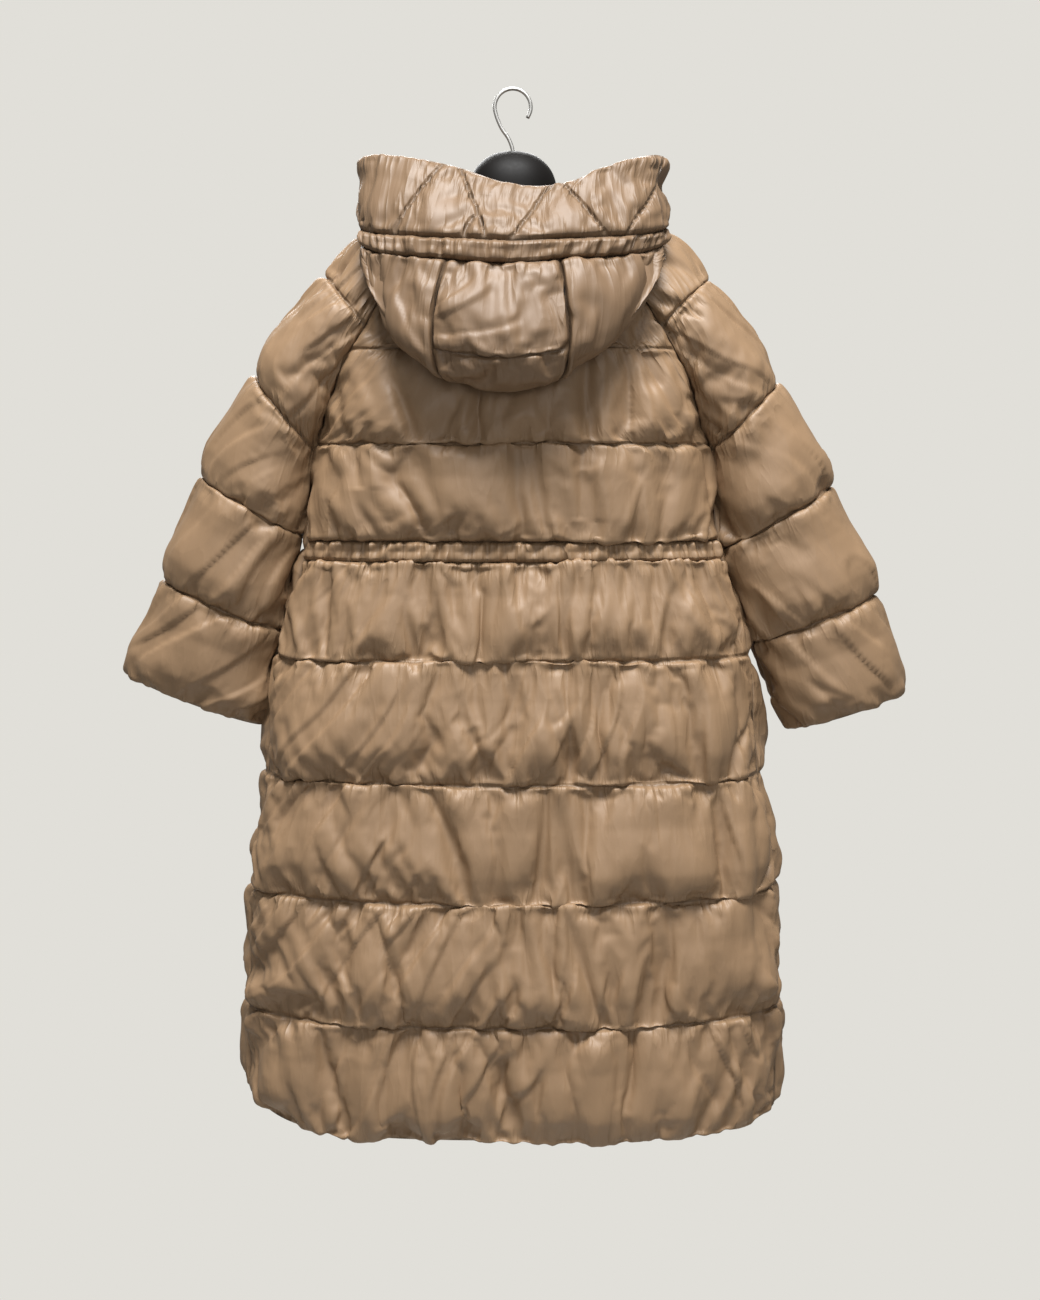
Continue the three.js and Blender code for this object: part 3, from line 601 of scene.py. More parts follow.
def add_cloth(obj, panel, padding):
    held = obj.vertex_groups.new(name="stitched")
    held.add([int(k) for k in np.flatnonzero(panel.stitched.ravel())], 1.0, "REPLACE")
    modifier = obj.modifiers.new("Filling", "CLOTH")
    cloth = modifier.settings
    cloth.quality = 6
    cloth.mass = 0.005
    cloth.tension_stiffness = cloth.compression_stiffness = 200
    cloth.shear_stiffness = 20
    cloth.bending_stiffness = padding["bending"]
    cloth.tension_damping = cloth.compression_damping = cloth.shear_damping = 5
    cloth.bending_damping = 0.5
    cloth.use_pressure = True
    cloth.uniform_pressure_force = padding["pressure"]
    cloth.vertex_group_mass = "stitched"
    cloth.pin_stiffness = 1
    cloth.shrink_min = -padding["extra"]
    cloth.effector_weights.gravity = 0
    modifier.collision_settings.use_collision = False
    modifier.collision_settings.use_self_collision = False
    modifier.point_cache.frame_start = 1
    modifier.point_cache.frame_end = SETTLE_FRAMES
    return modifier


def channel_sag(panel, padding):
    """The filling sinks in its channel, so the lower part of each roll stands out more than the upper."""
    lean = padding["sag"]
    rows, values = [], []
    for top, low in zip(panel.stitched_rows, panel.stitched_rows[1:]):
        rows += [top, lerp(top, low, 0.35), lerp(top, low, 0.72), low]
        values += [1, 1 - lean * 0.6, 1 + lean, 1]
    return rows, values


def settle(jobs):
    """Lets the outer faces of several panels settle together and returns them as meshes."""
    scene = bpy.context.scene
    objects = []
    for panel, padding in jobs:
        rows, columns = panel.stitched.shape
        mesh = grid_mesh(panel.name, rows, columns)
        place_vertices(mesh, drape_start(panel, padding))
        obj = bpy.data.objects.new(panel.name, mesh)
        scene.collection.objects.link(obj)
        face_along(mesh, panel.normals)
        if padding["settles"]:
            add_cloth(obj, panel, padding)
        objects.append(obj)
    scene.frame_start, scene.frame_end = 1, SETTLE_FRAMES
    for number in range(1, SETTLE_FRAMES + 1):
        scene.frame_set(number)
    graph = bpy.context.evaluated_depsgraph_get()
    results = []
    for obj, (panel, padding) in zip(objects, jobs):
        settled = bpy.data.meshes.new_from_object(obj.evaluated_get(graph))
        shape = vertex_places(settled).reshape(panel.points.shape)
        bpy.data.objects.remove(obj)
        move = shape - panel.points
        length = np.linalg.norm(move, axis=2)
        cap = MM * padding["cap"] * np.clip(panel.share, 0.12, 1)
        limited = length / np.sqrt(1 + (length / cap) ** 2)
        sag = np.interp(np.arange(shape.shape[0]), *channel_sag(panel, padding))[:, None]
        settled.name = panel.name
        place_vertices(settled, panel.points + move * (limited * sag / np.maximum(length, 1e-9))[..., None])
        face_along(settled, panel.normals)
        results.append(settled)
    scene.frame_set(1)
    return results


def smooth_once(mesh, levels=1):
    """The mesh with a subdivision applied."""
    obj = bpy.data.objects.new("smoothing", mesh)
    bpy.context.scene.collection.objects.link(obj)
    modifier = obj.modifiers.new("Smooth", "SUBSURF")
    modifier.levels = modifier.render_levels = levels
    modifier.boundary_smooth = "PRESERVE_CORNERS"
    smooth = bpy.data.meshes.new_from_object(obj.evaluated_get(bpy.context.evaluated_depsgraph_get()))
    bpy.data.objects.remove(obj)
    return smooth


def gather(mesh, panel, padding):
    """Short gathers along the stitching, where the thread draws the cloth in."""
    depth = padding["gather"]
    width = padding["gather_reach"]
    pitch = padding["gather_pitch"]
    reach = read_attribute(mesh, "reach")
    cut = read_attribute(mesh, "cut", 3)
    strength = read_attribute(mesh, "draw")
    points = vertex_places(mesh)
    normals = np.empty(len(mesh.vertices) * 3, np.float32)
    mesh.vertices.foreach_get("normal", normals)
    normals = normals.reshape(-1, 3)
    crumple = padding["crumple"]
    for k in range(len(points)):
        near, far = reach[k] / width, reach[k] / (3.2 * width)
        fade, broad = near * math.exp(1 - near), far * math.exp(1 - far)
        x, y = cut[k][0], cut[k][1]
        channel, local = channel_of(panel, y)
        lean = fold_lean(panel, padding, x, y)
        at = panel.seed + channel * 2.3
        ruck = noise.noise(Vector((x / pitch, local / 0.05, at)))
        wide = noise.noise(Vector(((x + lean * local) / (2.4 * pitch), local / 0.09, at + 40)))
        # Long creases are sharp steps with smooth cloth between them, and they come and go.
        long_crease = noise.noise(Vector(((x + lean * local) * 40, local * 6, at + 5)))
        short_crease = noise.noise(Vector(((x + 0.4 * lean * local) * 85, local * 16, at + 15)))
        where = smoothstep(noise.noise(Vector((x * 8, y * 8, at + 25))), -0.3, 0.15)
        where *= 1 + padding["deepening"] * channel
        step = math.tanh(long_crease / 0.08) - 0.9 * max(0.0, 1 - abs(long_crease) / 0.09)
        small = math.tanh(short_crease / 0.1) * math.exp(-reach[k] / 0.035)
        points[k] += normals[k] * (strength[k] * depth * (ruck * fade + 1.2 * wide * broad + 0.35 * fade)
                                   + crumple * min(1.0, reach[k] / 0.01) * (where * step + 0.5 * small))
        for (x0, y0), (x1, y1) in padding["pressed"]:
            way = (y - y0) / (y1 - y0)
            if 0 < way < 1:
                aside = x - lerp(x0, x1, way)
                points[k] -= normals[k] * PRESSED_DEPTH * math.sin(math.pi * way) ** 0.3 * (
                    math.exp(-abs(aside) / 0.005) - 0.6 * math.exp(-abs(aside - 0.014) / 0.008))
    place_vertices(mesh, points)


def mark_cloth(mesh, panel, pick=...):
    """Stores where each point lies on the flat-cut cloth, and how far it is from the nearest stitch."""
    along = panel.along[pick]
    add_attribute(mesh, "cut", "FLOAT_VECTOR",
                  np.stack([along, panel.below[pick], np.full(along.shape, panel.seed)], -1))
    add_attribute(mesh, "reach", "FLOAT", panel.reach[pick])


def make_wall(panel, mesh, padding):
    """The settled outer face with its gathers, closed by a lining and narrow edges."""
    rows, columns = panel.stitched.shape
    mark_cloth(mesh, panel)
    draw = padding["draw"]
    strength = np.array([[draw(u, v) for u in panel.turns[i]] for i, v in enumerate(panel.rows)]) \
        if draw else np.ones(panel.reach.shape)
    add_attribute(mesh, "draw", "FLOAT", strength)
    outer = smooth_once(mesh)
    gather(outer, panel, padding)
    lining_rows = sorted({*range(0, rows, LINING_STRIDE), rows - 1})
    lining_columns = sorted({*range(0, columns, LINING_STRIDE), columns - 1})
    pick = np.ix_(lining_rows, lining_columns)
    sizes = bpy.context.scene.coat_sizes
    part = np.clip(panel.reach[pick] / (padding["channel"] / 2 * MM), 0, 1)
    puff = np.sqrt(1 - (1 - part) ** 2) * panel.share[pick]
    inward = (np.where(panel.rim()[pick], sizes.edge, 2.5 * sizes.stitched)
              + padding.get("inner_fill", sizes.inner_fill) * puff)
    lining = grid_mesh(panel.name, len(lining_rows), len(lining_columns))
    place_vertices(lining, (panel.points[pick] - panel.normals[pick] * inward[..., None]).reshape(-1, 3))
    face_along(lining, -panel.normals[pick])
    mark_cloth(lining, panel, pick)
    bm = bmesh.new()
    bm.from_mesh(outer)
    bm.from_mesh(lining)
    bmesh.ops.bridge_loops(bm, edges=[edge for edge in bm.edges if edge.is_boundary])
    bmesh.ops.recalc_face_normals(bm, faces=bm.faces)
    return finish_mesh(bm, panel.name)


def finish_piece(name, mesh, material, node):
    """Makes the finished piece that stands for a CAD node."""
    mesh.shade_smooth()
    mesh.materials.clear()
    mesh.materials.append(material)
    piece = bpy.data.objects.new(name, mesh)
    bpy.context.scene.collection.objects.link(piece)
    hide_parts(node)
    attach(piece, "root")
    return piece


def sew(jobs, material):
    """Settles, closes and finishes a group of padded pieces: each job is a panel and its padding."""
    jobs = [(panel, {**PADDING, **padding}) for panel, padding in jobs]
    for (panel, padding), mesh in zip(jobs, settle(jobs)):
        wall = make_wall(panel, mesh, padding)
        piece = finish_piece(f"{panel.name}_quilted", wall, material, panel.name)


# ---- Materials --------------------------------------------------------------------------------------
def linear(hexadecimal):
    """An sRGB hex colour as linear numbers."""
    channels = [int(hexadecimal[k:k + 2], 16) / 255 for k in (0, 2, 4)]
    return tuple(c / 12.92 if c <= 0.04045 else ((c + 0.055) / 1.055) ** 2.4 for c in channels)


def add_node(tree, kind, settings=None, links=None):
    """Adds a node. A link is a socket to read from or a plain value, by input name or number."""
    node = tree.nodes.new(kind)
    for name, value in (settings or {}).items():
        setattr(node, name, value)
    for name, value in (links or {}).items():
        if isinstance(value, bpy.types.NodeSocket):
            tree.links.new(value, node.inputs[name])
        else:
            node.inputs[name].default_value = value
    return node


def new_material(name):
    material = bpy.data.materials.new(name)
    material.use_nodes = True
    tree = material.node_tree
    return material, tree, tree.nodes["Principled BSDF"]


def woven_nylon(name, colour):
    """Down-proof taffeta: fine nylon threads, calendered hot between rollers so that it shines.

    The eye gets a satin gloss that breaks on small creases, painted shade beside the stitching and a little
    sheen at grazing angles. Threads are 0.15 mm apart, too fine to show, so they are drawn at 1.2 mm.
    """
    material, tree, shader = new_material(name)
    cut = add_node(tree, "ShaderNodeAttribute", {"attribute_name": "cut"}).outputs["Vector"]
    reach = add_node(tree, "ShaderNodeAttribute", {"attribute_name": "reach"}).outputs["Fac"]
    # Tonal drift of the dyed cloth, about 120 mm across.
    tone = add_node(tree, "ShaderNodeTexNoise", {"noise_dimensions": "3D"},
                    {"Vector": cut, "Scale": 8.0, "Detail": 2.0}).outputs["Fac"]
    deep = tuple(c * 0.9 for c in colour)
    base = add_node(tree, "ShaderNodeMix", {"data_type": "RGBA"},
                    {"Factor": tone, "A": (*deep, 1), "B": (*colour, 1)}).outputs["Result"]
    # Each effect changes with the distance from the thread: where it stops, and its value at either end.
    # The thread pulls a groove into the cloth; the colour in the last 2.6 mm beside it is darkened, as
    # painted shade in that groove.
    beside = {}
    for effect, stop, at_thread, beyond in (("painted_shade", 0.0026, 0.66, 1.0), ("crease", 0.045, 1.0, 0.4),
                                            ("pucker", 0.036, 1.0, 0.2), ("groove", 0.005, 0.0, 1.0)):
        beside[effect] = add_node(tree, "ShaderNodeMapRange", {"interpolation_type": "SMOOTHSTEP"},
                                  {"Value": reach, "From Min": 0.0, "From Max": stop, "To Min": at_thread,
                                   "To Max": beyond}).outputs["Result"]
    # Painted shade: the base colour is multiplied down beside the thread.
    shade = add_node(tree, "ShaderNodeMix", {"data_type": "RGBA", "blend_type": "MULTIPLY"},
                     {"Factor": 1.0, "A": base, "B": beside["painted_shade"]}).outputs["Result"]
    tree.links.new(shade, shader.inputs["Base Color"])
    shader.inputs["Metallic"].default_value = 0.0
    shader.inputs["IOR"].default_value = 1.53
    shader.inputs["Sheen Weight"].default_value = 0.12
    shader.inputs["Sheen Tint"].default_value = (*colour, 1)
    shader.inputs["Sheen Roughness"].default_value = 0.5
    gloss = add_node(tree, "ShaderNodeTexNoise", {}, {"Vector": cut, "Scale": 30.0, "Detail": 3.0})
    rough = add_node(tree, "ShaderNodeMapRange", {}, {"Value": gloss.outputs["Fac"], "To Min": 0.48,
                                                      "To Max": 0.62}).outputs["Result"]
    tree.links.new(rough, shader.inputs["Roughness"])
    # Creases of the thin cloth, 7 to 30 mm apart, lean one way here and the other way there. Fine
    # puckers, 3 to 10 mm apart, run straight away from the thread and die out.
    ridges = []
    for angle, stretch, scale, roughness in ((0.55, 0.34, 34.0, 0.4), (-0.4, 0.34, 34.0, 0.4),
                                             (0.0, 0.22, 95.0, 0.5)):
        drawn = add_node(tree, "ShaderNodeMapping", {}, {"Vector": cut, "Scale": (1.0, stretch, 1.0),
                                                         "Rotation": (0, 0, angle)}).outputs["Vector"]
        ridges.append(add_node(tree, "ShaderNodeTexNoise", {"noise_type": "RIDGED_MULTIFRACTAL"},
                               {"Vector": drawn, "Scale": scale, "Detail": 2.0, "Roughness": roughness,
                                "Offset": 1.0, "Gain": 1.0}).outputs["Fac"])
    side = add_node(tree, "ShaderNodeTexNoise", {}, {"Vector": cut, "Scale": 9.0, "Detail": 1.0})
    chosen = add_node(tree, "ShaderNodeMapRange", {"interpolation_type": "SMOOTHSTEP"},
                      {"Value": side.outputs["Fac"], "From Min": 0.42, "From Max": 0.58}).outputs["Result"]
    crease = add_node(tree, "ShaderNodeMix", {"data_type": "FLOAT"},
                      {"Factor": chosen, "A": ridges[0], "B": ridges[1]}).outputs["Result"]
    creased, puckered = [add_node(tree, "ShaderNodeMath", {"operation": "MULTIPLY"},
                                  {0: height, 1: beside[effect]}).outputs[0]
                         for height, effect in ((crease, "crease"), (ridges[2], "pucker"))]
    weave = add_node(tree, "ShaderNodeTexVoronoi",
                     {"feature": "F1", "distance": "CHEBYCHEV"},
                     {"Vector": cut, "Scale": 830.0, "Randomness": 0.15}).outputs["Distance"]
    below = {}
    for height, strength, depth in ((beside["groove"], 0.8, 0.003), (puckered, 0.9, 0.0017),
                                    (creased, 0.55, 0.0022), (weave, 0.12, 0.0002)):
        surface = add_node(tree, "ShaderNodeBump", {}, {"Strength": strength, "Distance": depth,
                                                        "Height": height, **below}).outputs["Normal"]
        below = {"Normal": surface}
    tree.links.new(surface, shader.inputs["Normal"])
    return material


def moulded_plastic(colour):
    """Black polystyrene, blow-moulded: a soft gloss over a faint orange peel."""
    material, tree, shader = new_material("moulded_polystyrene")
    place = add_node(tree, "ShaderNodeTexCoord").outputs["Object"]
    shader.inputs["Base Color"].default_value = (*colour, 1)
    shader.inputs["IOR"].default_value = 1.59
    shader.inputs["Specular IOR Level"].default_value = 0.12
    peel = add_node(tree, "ShaderNodeTexNoise", {}, {"Vector": place, "Scale": 260.0, "Detail": 2.0})
    rough = add_node(tree, "ShaderNodeMapRange", {}, {"Value": peel.outputs["Fac"], "To Min": 0.5,
                                                      "To Max": 0.62}).outputs["Result"]
    tree.links.new(rough, shader.inputs["Roughness"])
    bump = add_node(tree, "ShaderNodeBump", {}, {"Strength": 0.1, "Distance": 0.0004,
                                                 "Height": peel.outputs["Fac"]}).outputs["Normal"]
    tree.links.new(bump, shader.inputs["Normal"])
    return material


def plated_steel(colour):
    """Drawn steel wire, nickel plated: bright, with faint lines drawn along the wire."""
    material, tree, shader = new_material("plated_steel_wire")
    place = add_node(tree, "ShaderNodeTexCoord").outputs["Object"]
    shader.inputs["Base Color"].default_value = (*colour, 1)
    shader.inputs["Metallic"].default_value = 1.0
    lines = add_node(tree, "ShaderNodeMapping", {}, {"Vector": place, "Scale": (900, 900, 60)})
    grain = add_node(tree, "ShaderNodeTexNoise", {}, {"Vector": lines.outputs["Vector"], "Scale": 1.0})
    rough = add_node(tree, "ShaderNodeMapRange", {}, {"Value": grain.outputs["Fac"], "To Min": 0.34,
                                                      "To Max": 0.5}).outputs["Result"]
    tree.links.new(rough, shader.inputs["Roughness"])
    return material


def painted_floor(colour):
    """Matt emulsion paint on a smooth floor: no gloss, with a very faint mottle."""
    material, tree, shader = new_material("matt_painted_floor")
    place = add_node(tree, "ShaderNodeTexCoord").outputs["Object"]
    mottle = add_node(tree, "ShaderNodeTexNoise", {}, {"Vector": place, "Scale": 3.0}).outputs["Fac"]
    tone = add_node(tree, "ShaderNodeMix", {"data_type": "RGBA"},
                    {"Factor": mottle, "A": (*[c * 0.985 for c in colour], 1),
                     "B": (*colour, 1)}).outputs["Result"]
    tree.links.new(tone, shader.inputs["Base Color"])
    shader.inputs["Roughness"].default_value = 0.9
    return material


# ---- Sizes and colours a user would change ----------------------------------------------------------
def length_setting(name, description, default, least, most):
    return FloatProperty(name=name, description=description, default=default, min=least, max=most,
                         subtype="DISTANCE", unit="LENGTH")


def colour_setting(name, description, hexadecimal):
    return FloatVectorProperty(name=name, description=description, default=linear(hexadecimal),
                               subtype="COLOR", min=0, max=1)


class CoatSizes(bpy.types.PropertyGroup):
    fill: length_setting("Fill", "How far the filling stands out between two lines", 0.015, 0, 0.04)
    inner_fill: length_setting("Inner fill", "How far the filling stands inwards", 0.008, 0, 0.03)
    stitched: length_setting("Stitched", "Half thickness along a quilting line", 0.0012, 0.0003, 0.004)
    edge: length_setting("Edge", "Half thickness where two pieces are sewn together", 0.0006, 0.0002, 0.003)
    back_step: length_setting("Back mesh", "Size of a face on the back and hood", 0.0052, 0.004, 0.02)
    front_step: length_setting("Front mesh", "Size of a face on the fronts", 0.008, 0.004, 0.02)


class CoatColours(bpy.types.PropertyGroup):
    shell: colour_setting("Shell", "Tan nylon of the body and sleeves", "8B7054")
    # Painted shade: the hood's nylon is a darker copy of the shell's, so that the hood looks less lit under
    # the ceiling lamp.
    hood: colour_setting("Hood", "The hood's nylon, slightly deeper", "775F47")
    form: colour_setting("Form", "Moulded torso form", "0F0D0C")
    hook: colour_setting("Hook", "Plated steel wire", "C4C3C0")
    floor: colour_setting("Floor", "Pale floor and surroundings", "E1DFD9")


def nylon(part, colour):
    name = f"woven_nylon_{part}"
    return bpy.data.materials.get(name) or woven_nylon(name, colour)


# ---- Operators --------------------------------------------------------------------------------------
class BackOperator(bpy.types.Operator):
    """Sews the upper and lower back and the gathered casing at the waist"""
    bl_idname = "coat.back"
    bl_label = "Back"

    def execute(self, context):
        step = context.scene.coat_sizes.back_step / MM
        quilted = {"channel": 118, "slant": (0.6, -0.1), "draw": waist_draw,
                   "pressed": [((0.058, 0.30), (0.061, 0.39)), ((0.163, 0.165), (0.165, 0.285)),
                               ((0.168, 0.26), (0.19, 0.39)), ((-0.14, 0.27), (-0.132, 0.36))]}
        lower = {"channel": 145, "slant": (0.65, -0.3), "draw": waist_draw, "deepening": 0.17,
                 "pressed": [((0.062, 0.0), (0.066, 0.12)), ((0.066, 0.118), (0.073, 0.272)),
                             ((0.05, 0.42), (0.045, 0.56)), ((-0.165, 0.43), (-0.12, 0.54))]}
        casing = {"channel": 22, "settles": False, "fill": 0.004, "inner_fill": 0.002, "cap": 9,
                  "gather": 0.006, "gather_pitch": 0.007, "gather_reach": 0.0065, "fold": 0.001,
                  "crumple": 0.0002}
        sew([
            (Panel("back_upper", back_place, [-1, 1], UPPER_LINES, step, back_share,
                   inset=(1.2, 0.1, 0.1, 0.1), seed=3.1), quilted),
            (Panel("waist_casing", back_place, [-1, 1], [CASING_TOP, CASING_BOTTOM], 3.0,
                   inset=(0.1,) * 4, seed=7.7), casing),
            (Panel("back_lower", back_place, [-1, 1], LOWER_LINES, step, back_share,
                   inset=(0.1,) * 4, seed=11.3), lower),
        ], nylon("shell", context.scene.coat_colours.shell))
        return {"FINISHED"}


def waist_draw(turn, z):
    """Gathers are deepest beside the waist casing."""
    near = min(abs(z - CASING_TOP), abs(z - CASING_BOTTOM))
    return lerp(2.4, 1.0, smoothstep(near, 10, 45))


class FrontOperator(bpy.types.Operator):
    """Sews the two fronts and the placket that covers their fastening"""
    bl_idname = "coat.front"
    bl_label = "Fronts"

    def execute(self, context):
        step = context.scene.coat_sizes.front_step / MM
        jobs = []
        for side, slant in (("left", (0.5, 0.2)), ("right", (-0.2, -0.5))):
            ends = (0.8, 0.02) if side == "right" else (0.02, 0.8)
            jobs.append((Panel(f"front_{side}", front_place(side), [0, 1, 2], FRONT_LINES, step,
                               front_share(side), inset=(1.2, 0.4, *ends), seed=19.3 + len(side)),
                         {"channel": 142, "slant": slant}))
        placket = Panel("front_placket", placket_place, [-1, 1], FRONT_LINES, 5.0, inset=(3, 0.4, 0, 0),
                        seed=29.9)
        placket.points += placket.normals * 3.6 * MM
        jobs.append((placket, {"channel": 58, "settles": False, "fill": 0.008, "inner_fill": 0.0001,
                               "cap": 9, "fold": 0.002}))
        sew(jobs, nylon("shell", context.scene.coat_colours.shell))
        return {"FINISHED"}


class SleeveOperator(bpy.types.Operator):
    """Sews the two raglan sleeves, open at the cuffs"""
    bl_idname = "coat.sleeves"
    bl_label = "Sleeves"

    def execute(self, context):
        step = context.scene.coat_sizes.back_step / MM
        jobs = []
        for side, slant in (("left", (0.1, 0.7)), ("right", (-0.7, -0.1))):
            jobs.append((Panel(f"sleeve_{side}", sleeve_place(side), [-1, 1], steps(0, 5, 5), step,
                               sleeve_share, inset=(1.2, 0.1, 0.1, 0.1), seed=37.7 + len(side)),
                         {"channel": 118, "slant": slant, "draw": cuff_draw, "extra": 0.07,
                          "fold": 0.008, "folds": 18}))
        sew(jobs, nylon("shell", context.scene.coat_colours.shell))
        return {"FINISHED"}


def cuff_draw(turn, line):
    """Gathers are deepest at the cuff and under the arm."""
    return 1 + 1.4 * smoothstep(line, 4.45, 5.0) + 0.9 * smoothstep(abs(turn), 0.6, 0.95)


class HoodOperator(bpy.types.Operator):
    """Sews the hood: quilted brim, gathered casing, centre panel and two side panels"""
    bl_idname = "coat.hood"
    bl_label = "Hood"

    def execute(self, context):
        step = context.scene.coat_sizes.back_step / MM
        crown = {"channel": 80, "fill": 0.009, "fold": 0.006, "inner_fill": 0.004, "slant": (0.7, -0.7),
                 "cap": 22, "draw": crown_draw, "pressure": 60, "folds": 30}
        brim = {"channel": 60, "fill": 0.011, "fold": 0.003, "inner_fill": 0.004, "cap": 22,
                "slant": (0.6, -0.6), "pressure": 70, "folds": 26, "extra": 0.06, "crumple": 0.0007}
        casing = {"channel": 22, "settles": False, "fill": 0.003, "inner_fill": 0.0012, "cap": 12,
                  "gather": 0.0075, "gather_pitch": 0.0085, "gather_reach": 0.007, "fold": 0.001,
                  "crumple": 0.0004}
        jobs = [
            (Panel("hood_brim", brim_place, [-BRIM_REACH, BRIM_REACH], [0, 1], 5.2, brim_share,
                   seams=BRIM_SEAMS, inset=(0.1, 0.1, 0.3, 0.3), seed=51.1), brim),
            (Panel("hood_casing", hood_casing_place, [-LAST_STATION, LAST_STATION], [0, 1], 3.2,
                   inset=(0.1, 0.8, 1.0, 1.0), seed=57.7), casing),
        ]
        for name, first, last, lines, seed in (
                ("hood_centre", -CENTRE_STATION, CENTRE_STATION, [0, 0.64, 2], 61.3),
                ("hood_left", -LAST_STATION, -CENTRE_STATION, [0, 2], 67.9),
                ("hood_right", CENTRE_STATION, LAST_STATION, [0, 2], 71.5)):
            jobs.append((Panel(name, crown_place, [first, last], lines, step, crown_share,
                               inset=(0.8, 1.0, 0.1, 0.1), seed=seed), crown))
        # The hood's darker colour is painted shade.
        sew(jobs, nylon("hood", context.scene.coat_colours.hood))
        return {"FINISHED"}


def crown_draw(station, way):
    """Gathers run beside the crown's seams and under its casing."""
    return 1.3 + 0.9 * smoothstep(0.3 - way, 0, 0.3)


class FormOperator(bpy.types.Operator):
    """Lofts the limbless torso form"""
    bl_idname = "coat.form"
    bl_label = "Torso form"

    def execute(self, context):
        wide = through([(z, w) for z, w, _ in FORM_SECTIONS])
        deep = through([(z, d) for z, _, d in FORM_SECTIONS])
        heights = [lerp(a[0], b[0], t) for a, b in zip(FORM_SECTIONS, FORM_SECTIONS[1:])
                   for t in (0, 0.5)] + [FORM_SECTIONS[-1][0]]
        bm = bmesh.new()
        bmesh.ops.create_grid(bm, x_segments=FORM_SIDES, y_segments=len(heights) - 1, size=0.5)
        for vert in bm.verts:
            angle = 2 * math.pi * (vert.co.x + 0.5)
            z = heights[round((0.5 - vert.co.y) * (len(heights) - 1))]
            vert.co = Vector((wide(z) * signed_power(math.cos(angle), 2 / FORM_POWER),
                              deep(z) * signed_power(math.sin(angle), 2 / FORM_POWER), z)) * MM
        bmesh.ops.remove_doubles(bm, verts=bm.verts, dist=0.00005)
        close_ends(bm)
        finish_piece("torso_form_moulded", smooth_once(finish_mesh(bm, "torso_form_moulded")),
                     moulded_plastic(context.scene.coat_colours.form), "torso_form")
        return {"FINISHED"}


class HookOperator(bpy.types.Operator):
    """Bends the hook from round wire"""
    bl_idname = "coat.hook"
    bl_label = "Hook"

    def execute(self, context):
        middle = HOOK_BEND + HOOK_WIRE
        foot = FORM_TOP - HOOK_SOCKET + 0.3
        points = [Vector((x, 0, z)) for x, z in ((0, foot), (0, -90), (0, -83), (0, -77), (0, -72),
                                                 (-5, -58), (-14, -45))]
        points += [Vector((middle * math.cos(math.radians(a)), 0,
                           middle * math.sin(math.radians(a)) - HOOK_BEND)) for a in steps(200, -35, 9)]
        place = curve_through(points)
        count = 72
        bm = bmesh.new()
        bmesh.ops.create_circle(bm, cap_ends=False, segments=16, radius=HOOK_WIRE * MM)
        at = [place(t) * MM for t in steps(0, len(points) - 1, count)]
        headings = [(b - a).normalized() for a, b in zip(at, at[1:] + [2 * at[-1] - at[-2]])]
        bmesh.ops.translate(bm, verts=bm.verts, vec=at[0])
        ring = bm.edges[:]
        for k in range(1, count + 1):
            turned = headings[k - 1].rotation_difference(headings[k]).to_matrix()
            grown = bmesh.ops.extrude_edge_only(bm, edges=ring)["geom"]
            ring = [item for item in grown if isinstance(item, bmesh.types.BMEdge) and item.is_boundary]
            verts = [item for item in grown if isinstance(item, bmesh.types.BMVert)]
            bmesh.ops.rotate(bm, verts=verts, cent=at[k - 1], matrix=turned)
            bmesh.ops.translate(bm, verts=verts, vec=at[k] - at[k - 1])
        close_ends(bm)
        finish_piece("hook_wire", finish_mesh(bm, "hook_wire"),
                     plated_steel(context.scene.coat_colours.hook), "hook")
        return {"FINISHED"}


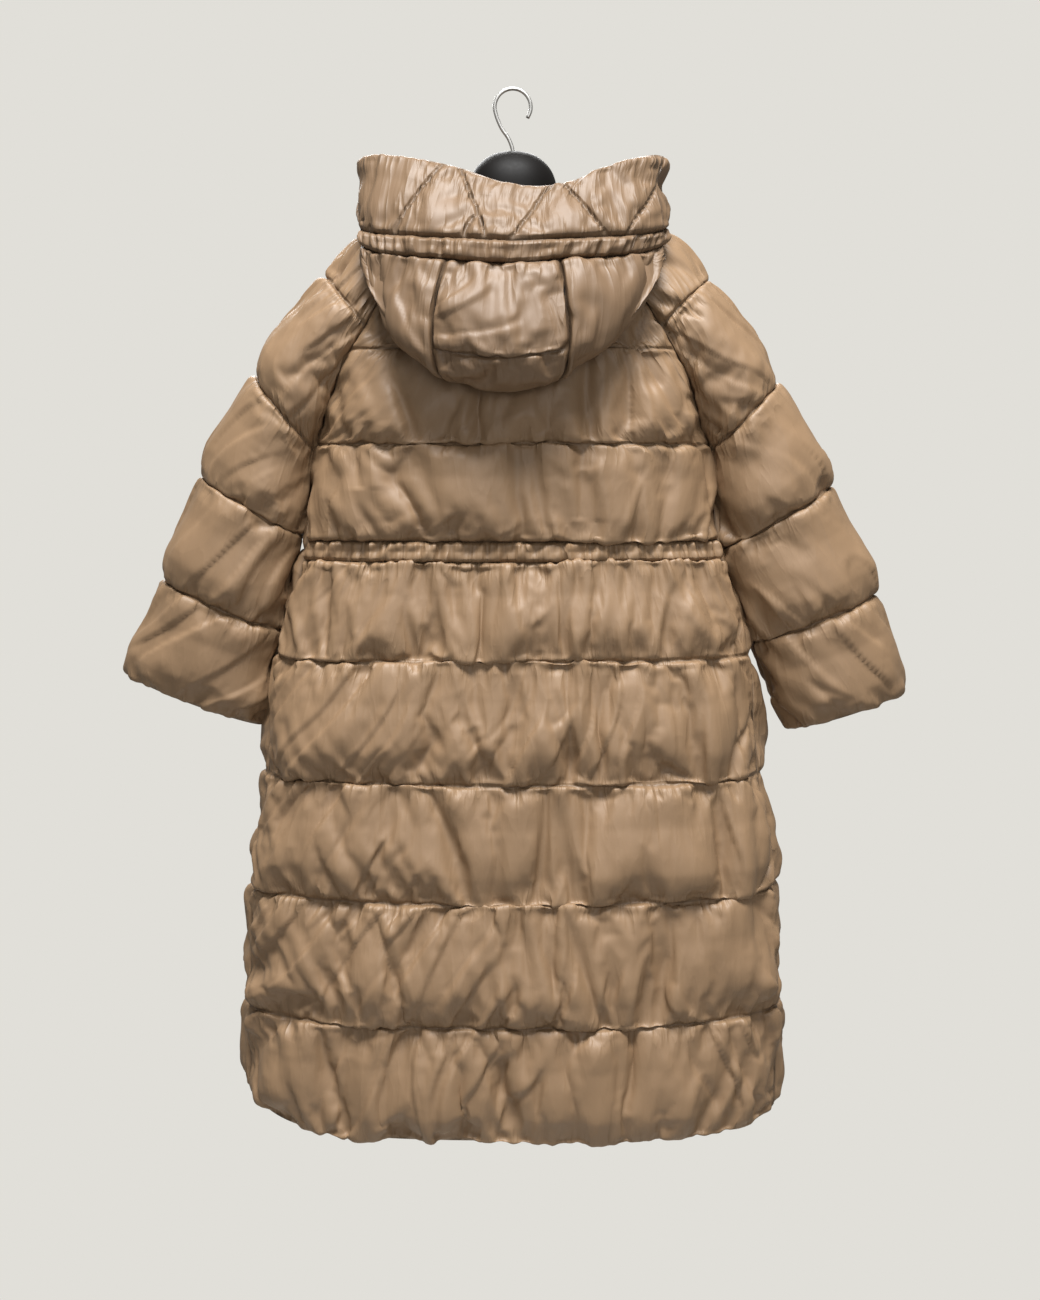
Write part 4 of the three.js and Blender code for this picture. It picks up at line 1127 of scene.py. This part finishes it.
class StageOperator(bpy.types.Operator):
    """Sets up the pale floor, the soft lights and the camera"""
    bl_idname = "coat.stage"
    bl_label = "Stage"

    def execute(self, context):
        scene = context.scene
        colour = scene.coat_colours.floor
        bm = bmesh.new()
        bmesh.ops.create_circle(bm, cap_ends=True, segments=96, radius=FLOOR_RADIUS)
        bmesh.ops.translate(bm, verts=bm.verts, vec=(0, 0, FLOOR_Z))
        mesh = finish_mesh(bm, "floor")
        mesh.materials.append(painted_floor([c * FLOOR_SHADE for c in colour]))
        floor = bpy.data.objects.new("floor", mesh)
        scene.collection.objects.link(floor)
        scene.view_settings.view_transform = "Standard"
        world = bpy.data.worlds.new("studio")
        scene.world = world
        world.use_nodes = True
        background = world.node_tree.nodes["Background"]
        background.inputs["Color"].default_value = (*colour, 1)
        seen = add_node(world.node_tree, "ShaderNodeLightPath").outputs["Is Camera Ray"]
        strength = add_node(world.node_tree, "ShaderNodeMapRange", {},
                            {"Value": seen, "To Min": WORLD_STRENGTH, "To Max": 1.0})
        world.node_tree.links.new(strength.outputs["Result"], background.inputs["Strength"])
        for name, place, size, power in LIGHTS:
            lamp = bpy.data.lights.new(name, "AREA")
            lamp.shape, lamp.size, lamp.size_y = "RECTANGLE", *size
            lamp.energy = power
            light = bpy.data.objects.new(name, lamp)
            light.location = place
            light.rotation_euler = (Vector(LIGHT_TARGET) - light.location).to_track_quat("-Z", "Y").to_euler()
            light.visible_camera = False
            scene.collection.objects.link(light)
        camera = bpy.data.cameras.new("camera")
        camera.sensor_fit = "VERTICAL"
        camera.sensor_height = 36.0
        camera.lens = CAMERA_LENS
        view = bpy.data.objects.new("camera", camera)
        view.location = CAMERA_PLACE
        view.rotation_euler = (math.radians(90 - CAMERA_TILT), 0, 0)
        scene.collection.objects.link(view)
        scene.camera = view
        return {"FINISHED"}


class CoatPanel(bpy.types.Panel):
    """Lists the steps that build the coat"""
    bl_idname = "VIEW3D_PT_coat"
    bl_label = "Long puffer coat"
    bl_space_type = "VIEW_3D"
    bl_region_type = "UI"
    bl_category = "Coat"

    def draw(self, context):
        for group in (context.scene.coat_sizes, context.scene.coat_colours):
            for name in group.__annotations__:
                self.layout.prop(group, name)
        for operator in OPERATORS:
            self.layout.operator(operator.bl_idname)


OPERATORS = (BackOperator, FrontOperator, SleeveOperator, HoodOperator, FormOperator, HookOperator,
             StageOperator)
CLASSES = (CoatSizes, CoatColours, *OPERATORS, CoatPanel)


def register():
    for cls in CLASSES:
        bpy.utils.register_class(cls)
    bpy.types.Scene.coat_sizes = PointerProperty(type=CoatSizes)
    bpy.types.Scene.coat_colours = PointerProperty(type=CoatColours)


def unregister():
    del bpy.types.Scene.coat_colours
    del bpy.types.Scene.coat_sizes
    for cls in reversed(CLASSES):
        bpy.utils.unregister_class(cls)


def main():
    register()
    for operator in OPERATORS:
        group, name = operator.bl_idname.split(".")
        getattr(getattr(bpy.ops, group), name)()


if __name__ == "__main__":
    main()
